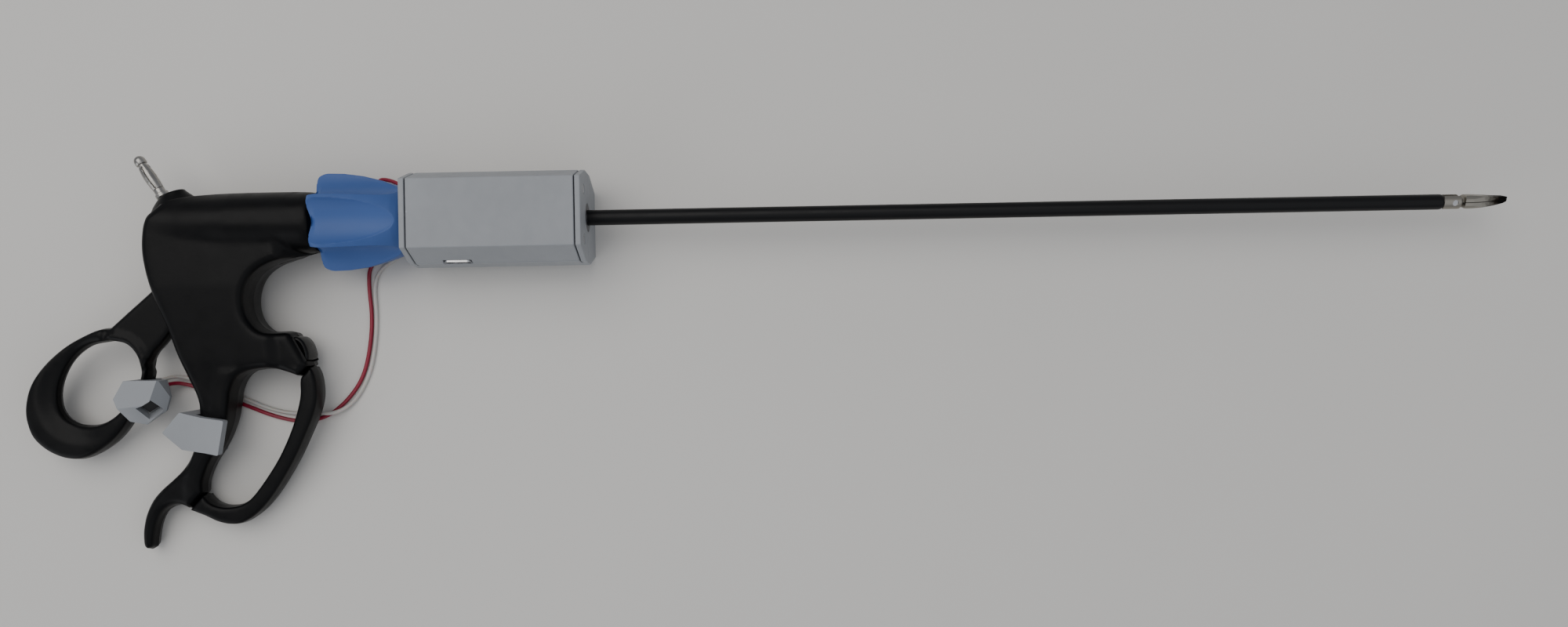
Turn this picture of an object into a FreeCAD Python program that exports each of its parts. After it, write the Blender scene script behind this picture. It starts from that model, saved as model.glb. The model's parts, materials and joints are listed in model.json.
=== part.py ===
import FreeCAD, Part
import math
import os
import re
import Sketcher

os.makedirs("parts", exist_ok=True)
doc = FreeCAD.newDocument("grasper")
V = FreeCAD.Vector

# Driving sizes in millimetres. X runs along the shaft to the jaws, Y is up across the handle,
# Z points away from the table that the instrument lies on. The origin is on the shaft axis at the
# box's front face.
SIZES = [
    ("shaft_radius", 2.5), ("shaft_reach", 279.7), ("tube_radius", 2.2), ("tube_bore", 1.75),
    ("rod_radius", 1.1), ("running_gap", 0.05), ("part_gap", 0.3), ("touch_gap", 0.02),
    ("box_length", 57.5), ("box_half_width", 14.85), ("box_half_depth", 14.75),
    ("box_flat", 11.0), ("box_side", 4.25), ("box_wall", 1.8), ("plate_lug", 3.0), ("seam_height", 4.6),
    ("bush_radius", 4.5), ("bush_inside", 1.5), ("bush_set_back", 0.1),
    ("screw_spread", 8.0), ("screw_height", 7.2), ("screw_radius", 0.9), ("screw_head", 1.6),
    ("screw_length", 4.6), ("screw_recess", 1.2),
    ("port_centre", "=box_length - 16"), ("port_height", 4.6), ("port_width", 8.94), ("port_tall", 3.26),
    ("port_depth", 7.3), ("port_clear", 0.15), ("tongue_width", 6.2), ("tongue_thickness", 0.7),
    ("board_length", "=box_length - 11.5"), ("board_half_width", 10.2), ("board_thickness", 1.6),
    ("board_post", 1.4),
    ("cell_length", "=box_length - 19.5"), ("cell_half_width", 7.0), ("cell_thickness", 6.0),
    ("knob_gap", 1.0), ("knob_length", 29.0), ("knob_radius", 16.6), ("knob_nose", 10.6),
    ("flute_radius", 12.6), ("flute_floor", 12.0), ("neck_radius", 6.4), ("neck_length", 6.5),
    ("neck_flange", 7.7), ("neck_flange_thickness", 2.5),
    ("handle_gap", 0.5), ("barrel_radius", 10.5), ("barrel_wall", 2.4), ("barrel_length", 51.0),
    ("body_half", 8.6), ("cavity_half", 6.6), ("grip_half", 6.5), ("loop_half", 4.5), ("hook_half", 3.7),
    ("edge_round", 2.6), ("pin_cover", 0.6), ("slot_clear", 0.6),
    ("pivot_back", 31.5), ("pivot_drop", 7.0), ("pivot_pin", 1.5), ("lever_half", 4.0),
    ("fork_inner", 4.3), ("fork_outer", 6.2), ("stud_radius", 1.75), ("spool_groove", 4.0),
    ("spool_core", 2.0), ("spool_flange", 3.2), ("spool_flange_thickness", 1.8), ("rod_tail", 14.5),
    ("button_half", 4.6), ("button_round", 1.0), ("stem_radius", 1.5), ("nose_radius", 0.8),
    ("spring_wire", 0.4), ("spring_radius", 2.5), ("pawl_pin", 1.0), ("pawl_half", 2.2),
    ("plug_radius", 2.0), ("plug_core_radius", 1.55), ("plug_length", 15.5), ("plug_angle", 121.0),
    ("collar_radius", 2.9), ("collar_thickness", 1.4), ("boss_radius", 4.3),
    ("clevis_plug", 7.0), ("clevis_length", 6.3), ("jaw_slot_half", 1.3), ("jaw_pivot", 3.6),
    ("jaw_pin", 0.7), ("jaw_pin_head", 0.95), ("drive_pin", 0.4), ("drive_arm", 4.2), ("jaw_reach", 18.1),
    ("tail_inner", 0.45), ("tail_outer", 1.2), ("tab_half", 0.4), ("roll_angle", 22.0),
    ("lever_swing", 20.0), ("jaw_swing", 26.0), ("handle_tilt", 5.8),
    ("clip_top", 9.75), ("clip_under", 7.05), ("clip_back", 6.4), ("duct_half", 2.9), ("duct_depth", 3.4),
    ("magnet_radius", 2.0), ("magnet_length", 3.0), ("wire_radius", 0.65),
]

sheet = doc.addObject("Spreadsheet::Sheet", "Sizes")
for row, (alias, number) in enumerate(SIZES, start=1):
    sheet.set("A%d" % row, alias)
    sheet.set("B%d" % row, str(number))
    sheet.setAlias("B%d" % row, alias)
doc.recompute()
ALIASES = {alias for alias, number in SIZES}


def size(alias):
    return float(sheet.get(alias))


def linked(text):
    # An expression in plain size names, with each name pointed at the sheet.
    return re.sub(r"[a-z_]+", lambda m: "Sizes." + m.group() if m.group() in ALIASES else m.group(),
                  text)


def bind(item, **expressions):
    for name, text in expressions.items():
        item.setExpression(name.replace("__", "."), linked(text))


def body(label):
    item = doc.addObject("PartDesign::Body", label)
    item.Label = label
    return item


def plane(owner, role):
    for feature in owner.Origin.OriginFeatures:
        if feature.Role == role:
            return feature


def profile(owner, name, role, points, offset="0"):
    # A closed straight-sided sketch whose corners are bound to expressions.
    sketch = owner.newObject("Sketcher::SketchObject", name)
    sketch.AttachmentSupport = [(plane(owner, role), "")]
    sketch.MapMode = "FlatFace"
    sketch.setExpression(".AttachmentOffset.Base.z", linked(offset))
    count = len(points)
    spots = [V(math.cos(6.283 * i / count), math.sin(6.283 * i / count), 0) for i in range(count)]
    for i in range(count):
        sketch.addGeometry(Part.LineSegment(spots[i], spots[(i + 1) % count]), False)
    for i in range(count):
        sketch.addConstraint(Sketcher.Constraint("Coincident", i, 2, (i + 1) % count, 1))
    for i, (across, up) in enumerate(points):
        for axis, text in (("DistanceX", across), ("DistanceY", up)):
            index = sketch.addConstraint(Sketcher.Constraint(axis, -1, 1, i, 1, 1.0))
            sketch.setExpression("Constraints[%d]" % index, linked(text))
    return sketch


def disc(owner, name, role, radius, across="0", up="0", offset="0"):
    sketch = owner.newObject("Sketcher::SketchObject", name)
    sketch.AttachmentSupport = [(plane(owner, role), "")]
    sketch.MapMode = "FlatFace"
    sketch.setExpression(".AttachmentOffset.Base.z", linked(offset))
    sketch.addGeometry(Part.Circle(V(0, 0, 0), V(0, 0, 1), 1.0), False)
    rules = (("Radius", radius), ("DistanceX", across), ("DistanceY", up))
    for kind, text in rules:
        if kind == "Radius":
            index = sketch.addConstraint(Sketcher.Constraint("Radius", 0, 1.0))
        else:
            index = sketch.addConstraint(Sketcher.Constraint(kind, -1, 1, 0, 3, 1.0))
        sketch.setExpression("Constraints[%d]" % index, linked(text))
    return sketch


def feature(owner, kind, name, sketch, length=None, reverse=False, middle=False):
    item = owner.newObject("PartDesign::" + kind, name)
    item.Profile = sketch
    if length:
        item.setExpression("Length", linked(length))
    if reverse:
        item.Reversed = True
    if middle:
        item.Midplane = True
    sketch.Visibility = False
    return item


def turned(owner, kind, name, sketch, axis):
    item = owner.newObject("PartDesign::" + kind, name)
    item.Profile = sketch
    item.ReferenceAxis = (sketch, [axis])
    item.Angle = 360
    return item


def shaped(label, shape, tilt=False):
    # The handle's pieces are drawn flat and turned about the shaft axis to where the handle rests.
    item = doc.addObject("Part::Feature", label)
    item.Shape = shape
    item.Placement = TILT.multiply(shape.Placement) if tilt else shape.Placement
    item.Label = label
    return item


def outline(points):
    # A flat face from (x, y, corner radius) points: straight sides joined by tangent arcs.
    edges = []
    count = len(points)
    starts = []
    for i in range(count):
        here = V(points[i][0], points[i][1], 0)
        back = V(points[i - 1][0], points[i - 1][1], 0) - here
        ahead = V(points[(i + 1) % count][0], points[(i + 1) % count][1], 0) - here
        radius = points[i][2] if len(points[i]) > 2 else 0
        back_unit = V(back).normalize()
        ahead_unit = V(ahead).normalize()
        half = back_unit.getAngle(ahead_unit) / 2
        cut = radius / math.tan(half) if radius else 0
        cut = min(cut, 0.49 * back.Length, 0.49 * ahead.Length)
        radius = cut * math.tan(half)
        first = here + back_unit * cut
        last = here + ahead_unit * cut
        middle = None
        if cut > 1e-4:
            inward = (back_unit + ahead_unit).normalize()
            centre = here + inward * (radius / math.sin(half))
            middle = centre - inward * radius
        starts.append((first, middle, last))
    for i in range(count):
        first, middle, last = starts[i]
        if middle:
            edges.append(Part.Arc(first, middle, last).toShape())
        following = starts[(i + 1) % count][0]
        if (following - last).Length > 1e-4:
            edges.append(Part.LineSegment(last, following).toShape())
    return Part.Face(Part.Wire(edges))


def slab(points, low, high):
    face = outline(points)
    face.translate(V(0, 0, low))
    return face.extrude(V(0, 0, high - low))


def eased(solid, radius, level):
    # Rounds the edges that lie at one height.
    flat = [edge for edge in solid.Edges if edge.BoundBox.ZLength < 1e-4]
    rims = [edge for edge in flat if abs(edge.BoundBox.ZMin - level) < 1e-4]
    return solid.makeFillet(radius, rims)


def bar(start, end, radius):
    path = end - start
    return Part.makeCylinder(radius, path.Length, start, path)


KNOB_NOSE = -(size("box_length") + size("knob_gap"))
KNOB_REAR = KNOB_NOSE - size("knob_length")
HANDLE_FRONT = KNOB_REAR - size("handle_gap")
PIVOT = V(HANDLE_FRONT - size("pivot_back"), -size("pivot_drop"), 0)
JAW_PIVOT = size("shaft_reach") + size("jaw_pivot")
TILT = FreeCAD.Placement(V(0, 0, 0), FreeCAD.Rotation(V(1, 0, 0), size("handle_tilt")))


def placed(points):
    # Handle outlines are drawn from the handle's front face, with the shaft axis at zero height.
    return [(HANDLE_FRONT + point[0], point[1], point[2]) for point in points]


# Outlines of the handle pieces seen along Z: distance from the handle's front, height, corner radius.
GRIP_BODY = [
    (0, 0, 0), (-0.4, -10.3, 1), (-12.9, -10.5, 10), (-22.7, -17.4, 9), (-23.3, -31.3, 9),
    (-18.6, -37.9, 2), (-19, -46.3, 1), (-45.5, -46.3, 2), (-49.9, -33.9, 8), (-53.7, -21.3, 20),
    (-55.5, -8.9, 9), (-54.6, 0, 3), (-51.3, 4.1, 3), (-48.8, 4.1, 0), (-49, 0, 0),
]
GRIP_POST = [
    (-47, -40.9, 2), (-43.3, -51.5, 8), (-41.2, -59.6, 8), (-43.6, -69.8, 10), (-48.7, -80.3, 10),
    (-56.4, -87.9, 10), (-61.9, -95.2, 8), (-63.4, -103.8, 4), (-63.2, -108, 1.2),
    (-60.2, -106.7, 1.2), (-59.3, -99.7, 4), (-57, -93.6, 5), (-52.1, -91.8, 5),
    (-47.3, -94.7, 0.4), (-42.5, -88.6, 0.8), (-41.1, -81.9, 5), (-34.8, -73.2, 10),
    (-30.8, -63, 10), (-29.4, -54, 6), (-26.1, -48.4, 5), (-19, -47.6, 8), (-12, -49.3, 4),
    (-8, -50.3, 0.4), (-3.8, -46.4, 0.6), (-8.8, -45.9, 0), (-8.5, -36.9, 1.2), (-10.4, -35.5, 1),
    (-19.5, -35.5, 0), (-25.3, -29.8, 0), (-43.5, -29.8, 0),
]
LOOP = [
    (-3.7, -46.6, 0.5), (-2.1, -50.8, 4), (-2.2, -57.1, 8), (-5.8, -65.8, 15), (-15, -82.9, 20),
    (-24.4, -94.8, 10), (-35.5, -100.8, 12), (-47.3, -94.9, 0.4), (-42.4, -88.8, 0.6),
    (-37.9, -94.4, 5), (-27.6, -94.6, 6), (-16.9, -81.1, 20), (-9.6, -65.6, 15), (-7.2, -56.6, 6),
    (-8, -50.6, 0.4),
]
LEVER = [
    (-34.3, -3, 1), (-33.8, 2.3, 1.5), (-29, 2.3, 1.5), (-28.7, -3, 1), (-27.2, -8.4, 3),
    (-30.6, -12.5, 2), (-41.2, -24.3, 10), (-53.4, -38.3, 6), (-57.3, -43.7, 4), (-57.8, -49.3, 6),
    (-66.9, -65.4, 10), (-74.1, -73.7, 10), (-86.6, -77.8, 10), (-97.6, -70.6, 10),
    (-101.1, -58.6, 12), (-93.4, -46.4, 14), (-80.6, -36.5, 18), (-68.8, -33.8, 8),
    (-54.2, -22.2, 14), (-44.1, -12.4, 8), (-36.6, -6.4, 4),
]
RING_HOLE = [
    (-62, -45.9, 4), (-64.3, -38.5, 4), (-73.6, -36.2, 8), (-86.7, -42.2, 10), (-91.9, -55.1, 10),
    (-87.7, -65.4, 8), (-77.3, -67.2, 8), (-68.6, -61.5, 6), (-61.5, -50, 4),
]
CAVITY = [
    (-50.7, -1, 1), (-52.1, -9.4, 3), (-50.3, -21.3, 8), (-45.9, -37.4, 3), (-44.5, -43.5, 1),
    (-27.4, -43.5, 2), (-27, -33.5, 3), (-25.3, -16.4, 6), (-15.9, -8.7, 5), (-15.5, -1, 1),
]
ARM_SLOT = [
    (-62.5, -9.2, 0), (-42.5, -9.2, 0), (-40.4, -25, 0), (-48.6, -34.8, 0), (-56.8, -44.9, 0),
    (-64.4, -44.9, 0),
]
BUTTON = [
    (-14.6, -37.6, 0.5), (-8.1, -37.6, 2), (-5.1, -39.1, 2), (-3.5, -42.3, 2), (-3.6, -45, 1.2),
    (-14.9, -45, 0.5),
]
BUTTON_REAR = -14.8
BUTTON_LEVEL = -41.3
STEM_END = -28.6
MOUTH = (-21.0, -8.4, -45.4, -37.2)
PAWL_PIN = V(HANDLE_FRONT - 40.2, -35.9, 0)
PAWL_PIN_REACH = 0.4
CRANK_HALF = 1.2
CATCH_ANGLE = 261.9
SPRING_COILS = 4
SECTOR_RIM = 24.5
SECTOR_FROM = 258.0
SECTOR_TO = 280.0
SECTOR_HALF = 2.5
SECTOR_TEETH = 9
TOOTH_RADIUS = 0.45
HUB_RADIUS = 4.0
WEB_OVER_PIN = 1.2
PLUG_FOOT = V(HANDLE_FRONT - size("barrel_length") + 0.6, 9.2, 0)
PLUG_WAY = V(math.cos(math.radians(size("plug_angle"))), math.sin(math.radians(size("plug_angle"))), 0)
PLUG_ROOT = 7.5
CAGE_START = 2.9
CAGE_RING = 1.3
CAGE_SLIT = 0.5
PLUG_START = PLUG_FOOT - PLUG_WAY * PLUG_ROOT
BOSS_LENGTH = 3.9
BOSS_FOOT = PLUG_FOOT - PLUG_WAY * (BOSS_LENGTH + size("touch_gap"))


def x_cylinder(radius, start, end):
    return Part.makeCylinder(radius, end - start, V(start, 0, 0), V(1, 0, 0))


def z_cylinder(radius, centre, low, high):
    return Part.makeCylinder(radius, high - low, V(centre.x, centre.y, low))


def body_crown():
    # The body's faces fall away from the barrel down to the grip.
    thick, thin = size("body_half"), size("grip_half")
    side = [(20, -0.1, 0), (20, thick, 0), (-28, thick, 0), (-44, thin + 0.9, 0), (-60, thin + 0.9, 0),
            (-60, -0.1, 0)]
    return along_x(side, 90)


def along_x(side, length):
    # A bar along X with the given section, drawn as (height, out, corner radius).
    solid = slab(side, 0, length)
    solid.rotate(V(0, 0, 0), V(1, 0, 0), 90)
    solid.rotate(V(0, 0, 0), V(0, 0, 1), 90)
    solid.translate(V(HANDLE_FRONT - 80, 0, 0))
    return solid


def hook_wedge():
    # The grip thins towards the hook's end.
    thick, thin = size("grip_half"), size("hook_half")
    side = [(20, -0.1, 0), (20, thick, 0), (-60, thick, 0), (-92, thin + 0.2, 0), (-120, thin, 0),
            (-120, -0.1, 0)]
    return along_x(side, 90)


def shell_half():
    round_edge = size("edge_round")
    rear = HANDLE_FRONT - size("barrel_length")
    barrel = x_cylinder(size("barrel_radius"), rear, HANDLE_FRONT)
    ends = [edge for edge in barrel.Edges if abs(edge.BoundBox.XMax - rear) < 1e-4]
    barrel = barrel.makeFillet(round_edge, ends)
    grip = slab(placed(GRIP_BODY), 0, size("body_half")).common(body_crown())
    post = slab(placed(GRIP_POST), 0, size("grip_half")).common(hook_wedge())
    boss = Part.makeCylinder(size("boss_radius"), BOSS_LENGTH, BOSS_FOOT, PLUG_WAY)
    solid = barrel.fuse([grip, post, boss])

    wall = size("barrel_wall")
    neck_room = size("neck_flange_thickness") + size("part_gap")
    lip = KNOB_REAR - size("neck_length") + neck_room
    bore = size("barrel_radius") - wall
    slot_half = size("lever_half") + size("slot_clear")
    pin_end = size("body_half") - size("pin_cover")
    hollows = [
        x_cylinder(bore, rear + wall, lip),
        x_cylinder(size("neck_radius") + size("running_gap"), lip - 1, HANDLE_FRONT + 1),
        slab(placed(CAVITY), -size("cavity_half"), size("cavity_half")),
        slab(placed(ARM_SLOT), -slot_half, slot_half),
        z_cylinder(size("pivot_pin"), PIVOT, -1, pin_end),
        z_cylinder(size("pawl_pin"), PAWL_PIN, -1, size("grip_half") + PAWL_PIN_REACH),
        Part.makeCylinder(size("plug_core_radius"), PLUG_ROOT + 4, PLUG_START, PLUG_WAY),
        bar(PLUG_FOOT - PLUG_WAY * size("touch_gap"), PLUG_FOOT + PLUG_WAY * 3,
            size("collar_radius") + size("touch_gap")),
    ]
    left, right, low, high = MOUTH
    depth = size("button_half") + 0.4
    corner = V(HANDLE_FRONT + left, low, -1)
    hollows.append(Part.makeBox(right - left + 0.2, high - low, depth + 1, corner))
    stem_start = V(HANDLE_FRONT + STEM_END, BUTTON_LEVEL, 0)
    stem_room = bar(stem_start, V(corner.x + 0.5, BUTTON_LEVEL, 0), size("stem_radius") + 0.2)
    hollows.append(stem_room)
    solid = solid.cut(hollows)
    room = solid.BoundBox
    keep = Part.makeBox(room.XLength, room.YLength, room.ZMax, V(room.XMin, room.YMin, 0))
    solid = solid.common(keep).removeSplitter()
    return max(solid.Solids, key=lambda item: item.Volume)


def handle_shells():
    half = shell_half()
    shaped("handle_shell_upper", half, tilt=True)
    shaped("handle_shell_lower", half.mirror(V(0, 0, 0), V(0, 0, 1)), tilt=True)


def finger_loop():
    half = size("loop_half")
    shaped("finger_loop", slab(placed(LOOP), -half, half), tilt=True)


def thumb_lever():
    half = size("lever_half")
    gap = size("running_gap")
    plate = slab(placed(LEVER), -half, half)
    plate = plate.cut(slab(placed(RING_HOLE), -half - 1, half + 1))
    reach = size("pivot_drop")
    outer = size("fork_outer")
    top = reach + PIVOT.y + 2.3
    arms = [(PIVOT.x - 2.7, PIVOT.y - 3, 1), (PIVOT.x - 2.4, top, 1.5), (PIVOT.x + 2.4, top, 1.5),
            (PIVOT.x + 2.9, PIVOT.y - 3, 1)]
    fork = slab(arms, -outer, outer)
    hub = z_cylinder(HUB_RADIUS, PIVOT, -outer, outer)
    solid = plate.fuse([fork, hub])
    gap_low = PIVOT.y + size("pivot_pin") + WEB_OVER_PIN
    inner = size("fork_inner")
    solid = solid.cut(Part.makeBox(30, 20, 2 * inner, V(PIVOT.x - 15, gap_low, -inner)))
    studs = []
    for side in (-1, 1):
        low = min(side * (size("spool_core") + size("part_gap")), side * (inner + 0.5))
        high = max(side * (size("spool_core") + size("part_gap")), side * (inner + 0.5))
        studs.append(z_cylinder(size("stud_radius"), PIVOT + V(0, reach, 0), low, high))
    spread = SECTOR_TO - SECTOR_FROM
    web = Part.makeCylinder(SECTOR_RIM, 2 * SECTOR_HALF, PIVOT - V(0, 0, SECTOR_HALF), V(0, 0, 1), spread)
    web.rotate(PIVOT, V(0, 0, 1), SECTOR_FROM)
    solid = solid.fuse(studs + [web])
    for i in range(SECTOR_TEETH):
        turn = math.radians(SECTOR_FROM + 1.5 + i * (spread - 3.0) / (SECTOR_TEETH - 1))
        spot = PIVOT + V(math.cos(turn), math.sin(turn), 0) * (SECTOR_RIM + 0.1)
        solid = solid.cut(z_cylinder(TOOTH_RADIUS, spot, -SECTOR_HALF - 0.5, SECTOR_HALF + 0.5))
    solid = solid.cut(z_cylinder(size("pivot_pin") + gap, PIVOT, -outer - 1, outer + 1))
    shaped("thumb_lever", max(solid.removeSplitter().Solids, key=lambda item: item.Volume), tilt=True)


def handle_pins():
    pins = (("lever_pivot_pin", PIVOT, "pivot_pin", "2*(body_half - pin_cover)"),
            ("pawl_pin", PAWL_PIN, "pawl_pin", "2*(grip_half + %g)" % PAWL_PIN_REACH))
    for label, centre, radius, reach in pins:
        owner = body(label)
        sketch = disc(owner, label + "_circle", "XY_Plane", radius, "%.4f" % centre.x, "%.4f" % centre.y)
        feature(owner, "Pad", label + "_pad", sketch, reach, middle=True)
        owner.Placement = TILT


def release_parts():
    half = size("button_half")
    head = slab(placed(BUTTON), -half, half)
    head = eased(eased(head, size("button_round"), half), size("button_round"), -half)
    shoulder = V(HANDLE_FRONT + BUTTON_REAR + 0.5, BUTTON_LEVEL, 0)
    neck_end = V(HANDLE_FRONT + STEM_END, BUTTON_LEVEL, 0)
    nose_end = V(PAWL_PIN.x + CRANK_HALF + size("part_gap"), BUTTON_LEVEL, 0)
    stem = bar(shoulder, neck_end, size("stem_radius"))
    nose = bar(neck_end + V(0.5, 0, 0), nose_end, size("nose_radius"))
    shaped("release_button", head.fuse([stem, nose]).removeSplitter(), tilt=True)

    wire = size("spring_wire")
    start = HANDLE_FRONT + MOUTH[0] + wire
    end = HANDLE_FRONT + BUTTON_REAR - wire
    shaped("button_spring", spring_coil(start, end, wire), tilt=True)

    x, y = PAWL_PIN.x, PAWL_PIN.y
    half, foot = CRANK_HALF, y - 6.6
    catch = math.radians(CATCH_ANGLE)
    tip = V(math.cos(catch), math.sin(catch), 0) * (SECTOR_RIM + 0.4) + PIVOT
    corners = [(x - 2.0, y + 1.8, 1.2), (x + half, y + 2.0, 0.5), (tip.x - 0.5, tip.y, 0.1),
               (tip.x + 0.4, tip.y - 0.3, 0.2), (tip.x + 0.2, tip.y - 2.4, 0.6), (x + half, y - 2.0, 0.5),
               (x + half, foot, 0.3), (x - half, foot, 0.3), (x - 2.0, y - 1.8, 1.2)]
    crank = slab(corners, -size("pawl_half"), size("pawl_half"))
    crank = crank.cut(z_cylinder(size("pawl_pin") + size("running_gap"), PAWL_PIN, -5, 5))
    shaped("ratchet_pawl", crank, tilt=True)


def spring_coil(start, end, wire):
    # The helix is swept in quarter turns, so that each face of the coil stays short.
    radius = size("spring_radius")
    pitch = (end - start) / SPRING_COILS
    edges = []
    for quarter in range(4 * SPRING_COILS):
        turn = Part.makeHelix(pitch, pitch / 4, radius)
        turn.rotate(V(0, 0, 0), V(0, 0, 1), 90 * quarter)
        turn.translate(V(0, 0, quarter * pitch / 4))
        edges += turn.Edges
    section = Part.Wire(Part.makeCircle(wire, V(radius, 0, 0), V(0, 1, 0)))
    coil = Part.Wire(edges).makePipeShell([section], True, True)
    coil.rotate(V(0, 0, 0), V(0, 1, 0), 90)
    coil.translate(V(start, BUTTON_LEVEL, 0))
    return coil


def plug_parts():
    tip = PLUG_FOOT + PLUG_WAY * size("plug_length")
    core = bar(PLUG_START, tip, size("plug_core_radius"))
    dome = Part.makeSphere(size("plug_core_radius"), tip)
    shaped("plug_core", core.fuse(dome).removeSplitter(), tilt=True)

    collar = bar(PLUG_FOOT, PLUG_FOOT + PLUG_WAY * size("collar_thickness"), size("collar_radius"))
    collar = collar.cut(bar(PLUG_START, tip, size("plug_core_radius") + size("touch_gap")))
    shaped("plug_collar", collar, tilt=True)

    low = PLUG_FOOT + PLUG_WAY * CAGE_START
    high = PLUG_FOOT + PLUG_WAY * (size("plug_length") - 0.8)
    cage = bar(low, high, size("plug_radius"))
    cage = cage.cut(bar(PLUG_START, tip + PLUG_WAY, size("plug_core_radius") + size("touch_gap")))
    slit_low = low + PLUG_WAY * CAGE_RING
    slit_length = (high - low).Length - 2 * CAGE_RING
    slit = Part.makeBox(slit_length, CAGE_SLIT, 6, V(0, -CAGE_SLIT / 2, -3))
    for turn in (0, 90):
        cutter = slit.copy()
        cutter.rotate(V(0, 0, 0), V(1, 0, 0), turn + 45)
        cutter.rotate(V(0, 0, 0), V(0, 0, 1), size("plug_angle"))
        cutter.translate(slit_low)
        cage = cage.cut(cutter)
    shaped("plug_cage", cage, tilt=True)

    strip_start = V(PLUG_START.x - 2.0, size("rod_radius") + size("part_gap"), -1.5)
    strip = Part.makeBox(8.0, 0.5, 3.0, strip_start)
    shaped("contact_strip", strip, tilt=True)


def push_rod():
    tail = PIVOT.x - size("rod_tail")
    reach = JAW_PIVOT - size("drive_arm")
    tab_start = reach - 3.6
    tab_end = reach + 0.75
    rod = x_cylinder(size("rod_radius"), tail, tab_start)
    half = size("tab_half")
    tab = Part.makeBox(tab_end - tab_start, 1.8, 2 * half, V(tab_start, -0.9, -half))
    tab = tab.cut(z_cylinder(size("drive_pin"), V(reach, 0, 0), -2, 2))
    tab.rotate(V(0, 0, 0), V(1, 0, 0), size("roll_angle"))
    shaped("push_rod", rod.fuse(tab).removeSplitter())

    pin = z_cylinder(size("drive_pin"), V(reach, 0, 0), -size("tail_outer"), size("tail_outer"))
    pin.rotate(V(0, 0, 0), V(1, 0, 0), size("roll_angle"))
    shaped("drive_pin", pin)

    spool = body("rod_spool")
    middle = "%.4f" % PIVOT.x
    inner = middle + " - spool_groove/2"
    outer = middle + " + spool_groove/2"
    rear = inner + " - spool_flange_thickness"
    front = outer + " + spool_flange_thickness"
    corners = [(rear, "rod_radius"), (front, "rod_radius"), (front, "spool_flange"),
               (outer, "spool_flange"), (outer, "spool_core"), (inner, "spool_core"),
               (inner, "spool_flange"), (rear, "spool_flange")]
    sketch = profile(spool, "spool_profile", "XY_Plane", corners)
    turned(spool, "Revolution", "spool_turned", sketch, "H_Axis")


def rotation_knob():
    rear = "-box_length - knob_gap - knob_length"
    nose = "-box_length - knob_gap"
    neck_rear = rear + " - neck_length"
    flange_front = neck_rear + " + neck_flange_thickness"
    slope = [("0.9", "0.15"), ("0.72", "0.44"), ("0.52", "0.72"), ("0.3", "0.94")]
    corners = [(neck_rear, "tube_radius"), (nose, "tube_radius"), (nose, "knob_nose - 1.6"),
               (nose + " - 1.0", "knob_nose")]
    for along, rise in slope:
        radius = "knob_nose + %s*(knob_radius - knob_nose)" % rise
        corners.append((rear + " + %s*knob_length" % along, radius))
    corners += [(rear + " + 0.14*knob_length", "knob_radius"), (rear + " + 1.2", "knob_radius - 1.6"),
                (rear, "knob_radius - 4.6"), (rear, "neck_radius"), (flange_front, "neck_radius"),
                (flange_front, "neck_flange"), (neck_rear, "neck_flange")]
    owner = body("rotation_knob")
    sketch = profile(owner, "knob_profile", "XY_Plane", corners)
    turned(owner, "Revolution", "knob_turned", sketch, "H_Axis")
    doc.recompute()
    whole = owner.Shape.Volume
    flute = disc(owner, "flute_circle", "YZ_Plane", "flute_radius", "0", "flute_floor + flute_radius",
                 rear + " - 0.1")
    cut = feature(owner, "Pocket", "flute_cut", flute, "knob_length + 0.2", reverse=True)
    doc.recompute()
    if owner.Shape.Volume > whole - 1:
        cut.Reversed = False
        doc.recompute()
    ring = owner.newObject("PartDesign::PolarPattern", "flute_ring")
    ring.Originals = [cut]
    ring.Axis = (flute, ["H_Axis"])
    for axis in owner.Origin.OriginFeatures:
        if axis.Role == "X_Axis":
            ring.Axis = (axis, [""])
    ring.Angle = 360
    ring.Occurrences = 6
    owner.Tip = ring


def shaft_parts():
    tube = body("shaft_tube")
    start = "-box_length - knob_gap - knob_length - neck_length"
    corners = [(start, "tube_bore"), ("shaft_reach", "tube_bore"), ("shaft_reach", "tube_radius"),
               (start, "tube_radius")]
    sketch = profile(tube, "tube_profile", "XY_Plane", corners)
    turned(tube, "Revolution", "tube_turned", sketch, "H_Axis")
    window(tube, "tube_window")

    sleeve = body("shaft_insulation")
    corners = [("0", "tube_radius"), ("shaft_reach", "tube_radius"), ("shaft_reach", "shaft_radius"),
               ("0", "shaft_radius")]
    sketch = profile(sleeve, "sleeve_profile", "XY_Plane", corners)
    turned(sleeve, "Revolution", "sleeve_turned", sketch, "H_Axis")
    window(sleeve, "sleeve_window")


def window(owner, name):
    # The slot at the shaft's end that the jaw tails swing through, turned with the jaws.
    doc.recompute()
    whole = owner.Shape.Volume
    corners = [("-shaft_radius - 1", "-jaw_slot_half"), ("shaft_radius + 1", "-jaw_slot_half"),
               ("shaft_radius + 1", "jaw_slot_half"), ("-shaft_radius - 1", "jaw_slot_half")]
    sketch = profile(owner, name + "_sketch", "YZ_Plane", corners, "shaft_reach")
    sketch.setExpression(".AttachmentOffset.Rotation.Angle", linked("roll_angle"))
    cut = feature(owner, "Pocket", name, sketch, "1.5")
    doc.recompute()
    if owner.Shape.Volume > whole - 0.1:
        cut.Reversed = True
        doc.recompute()


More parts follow.
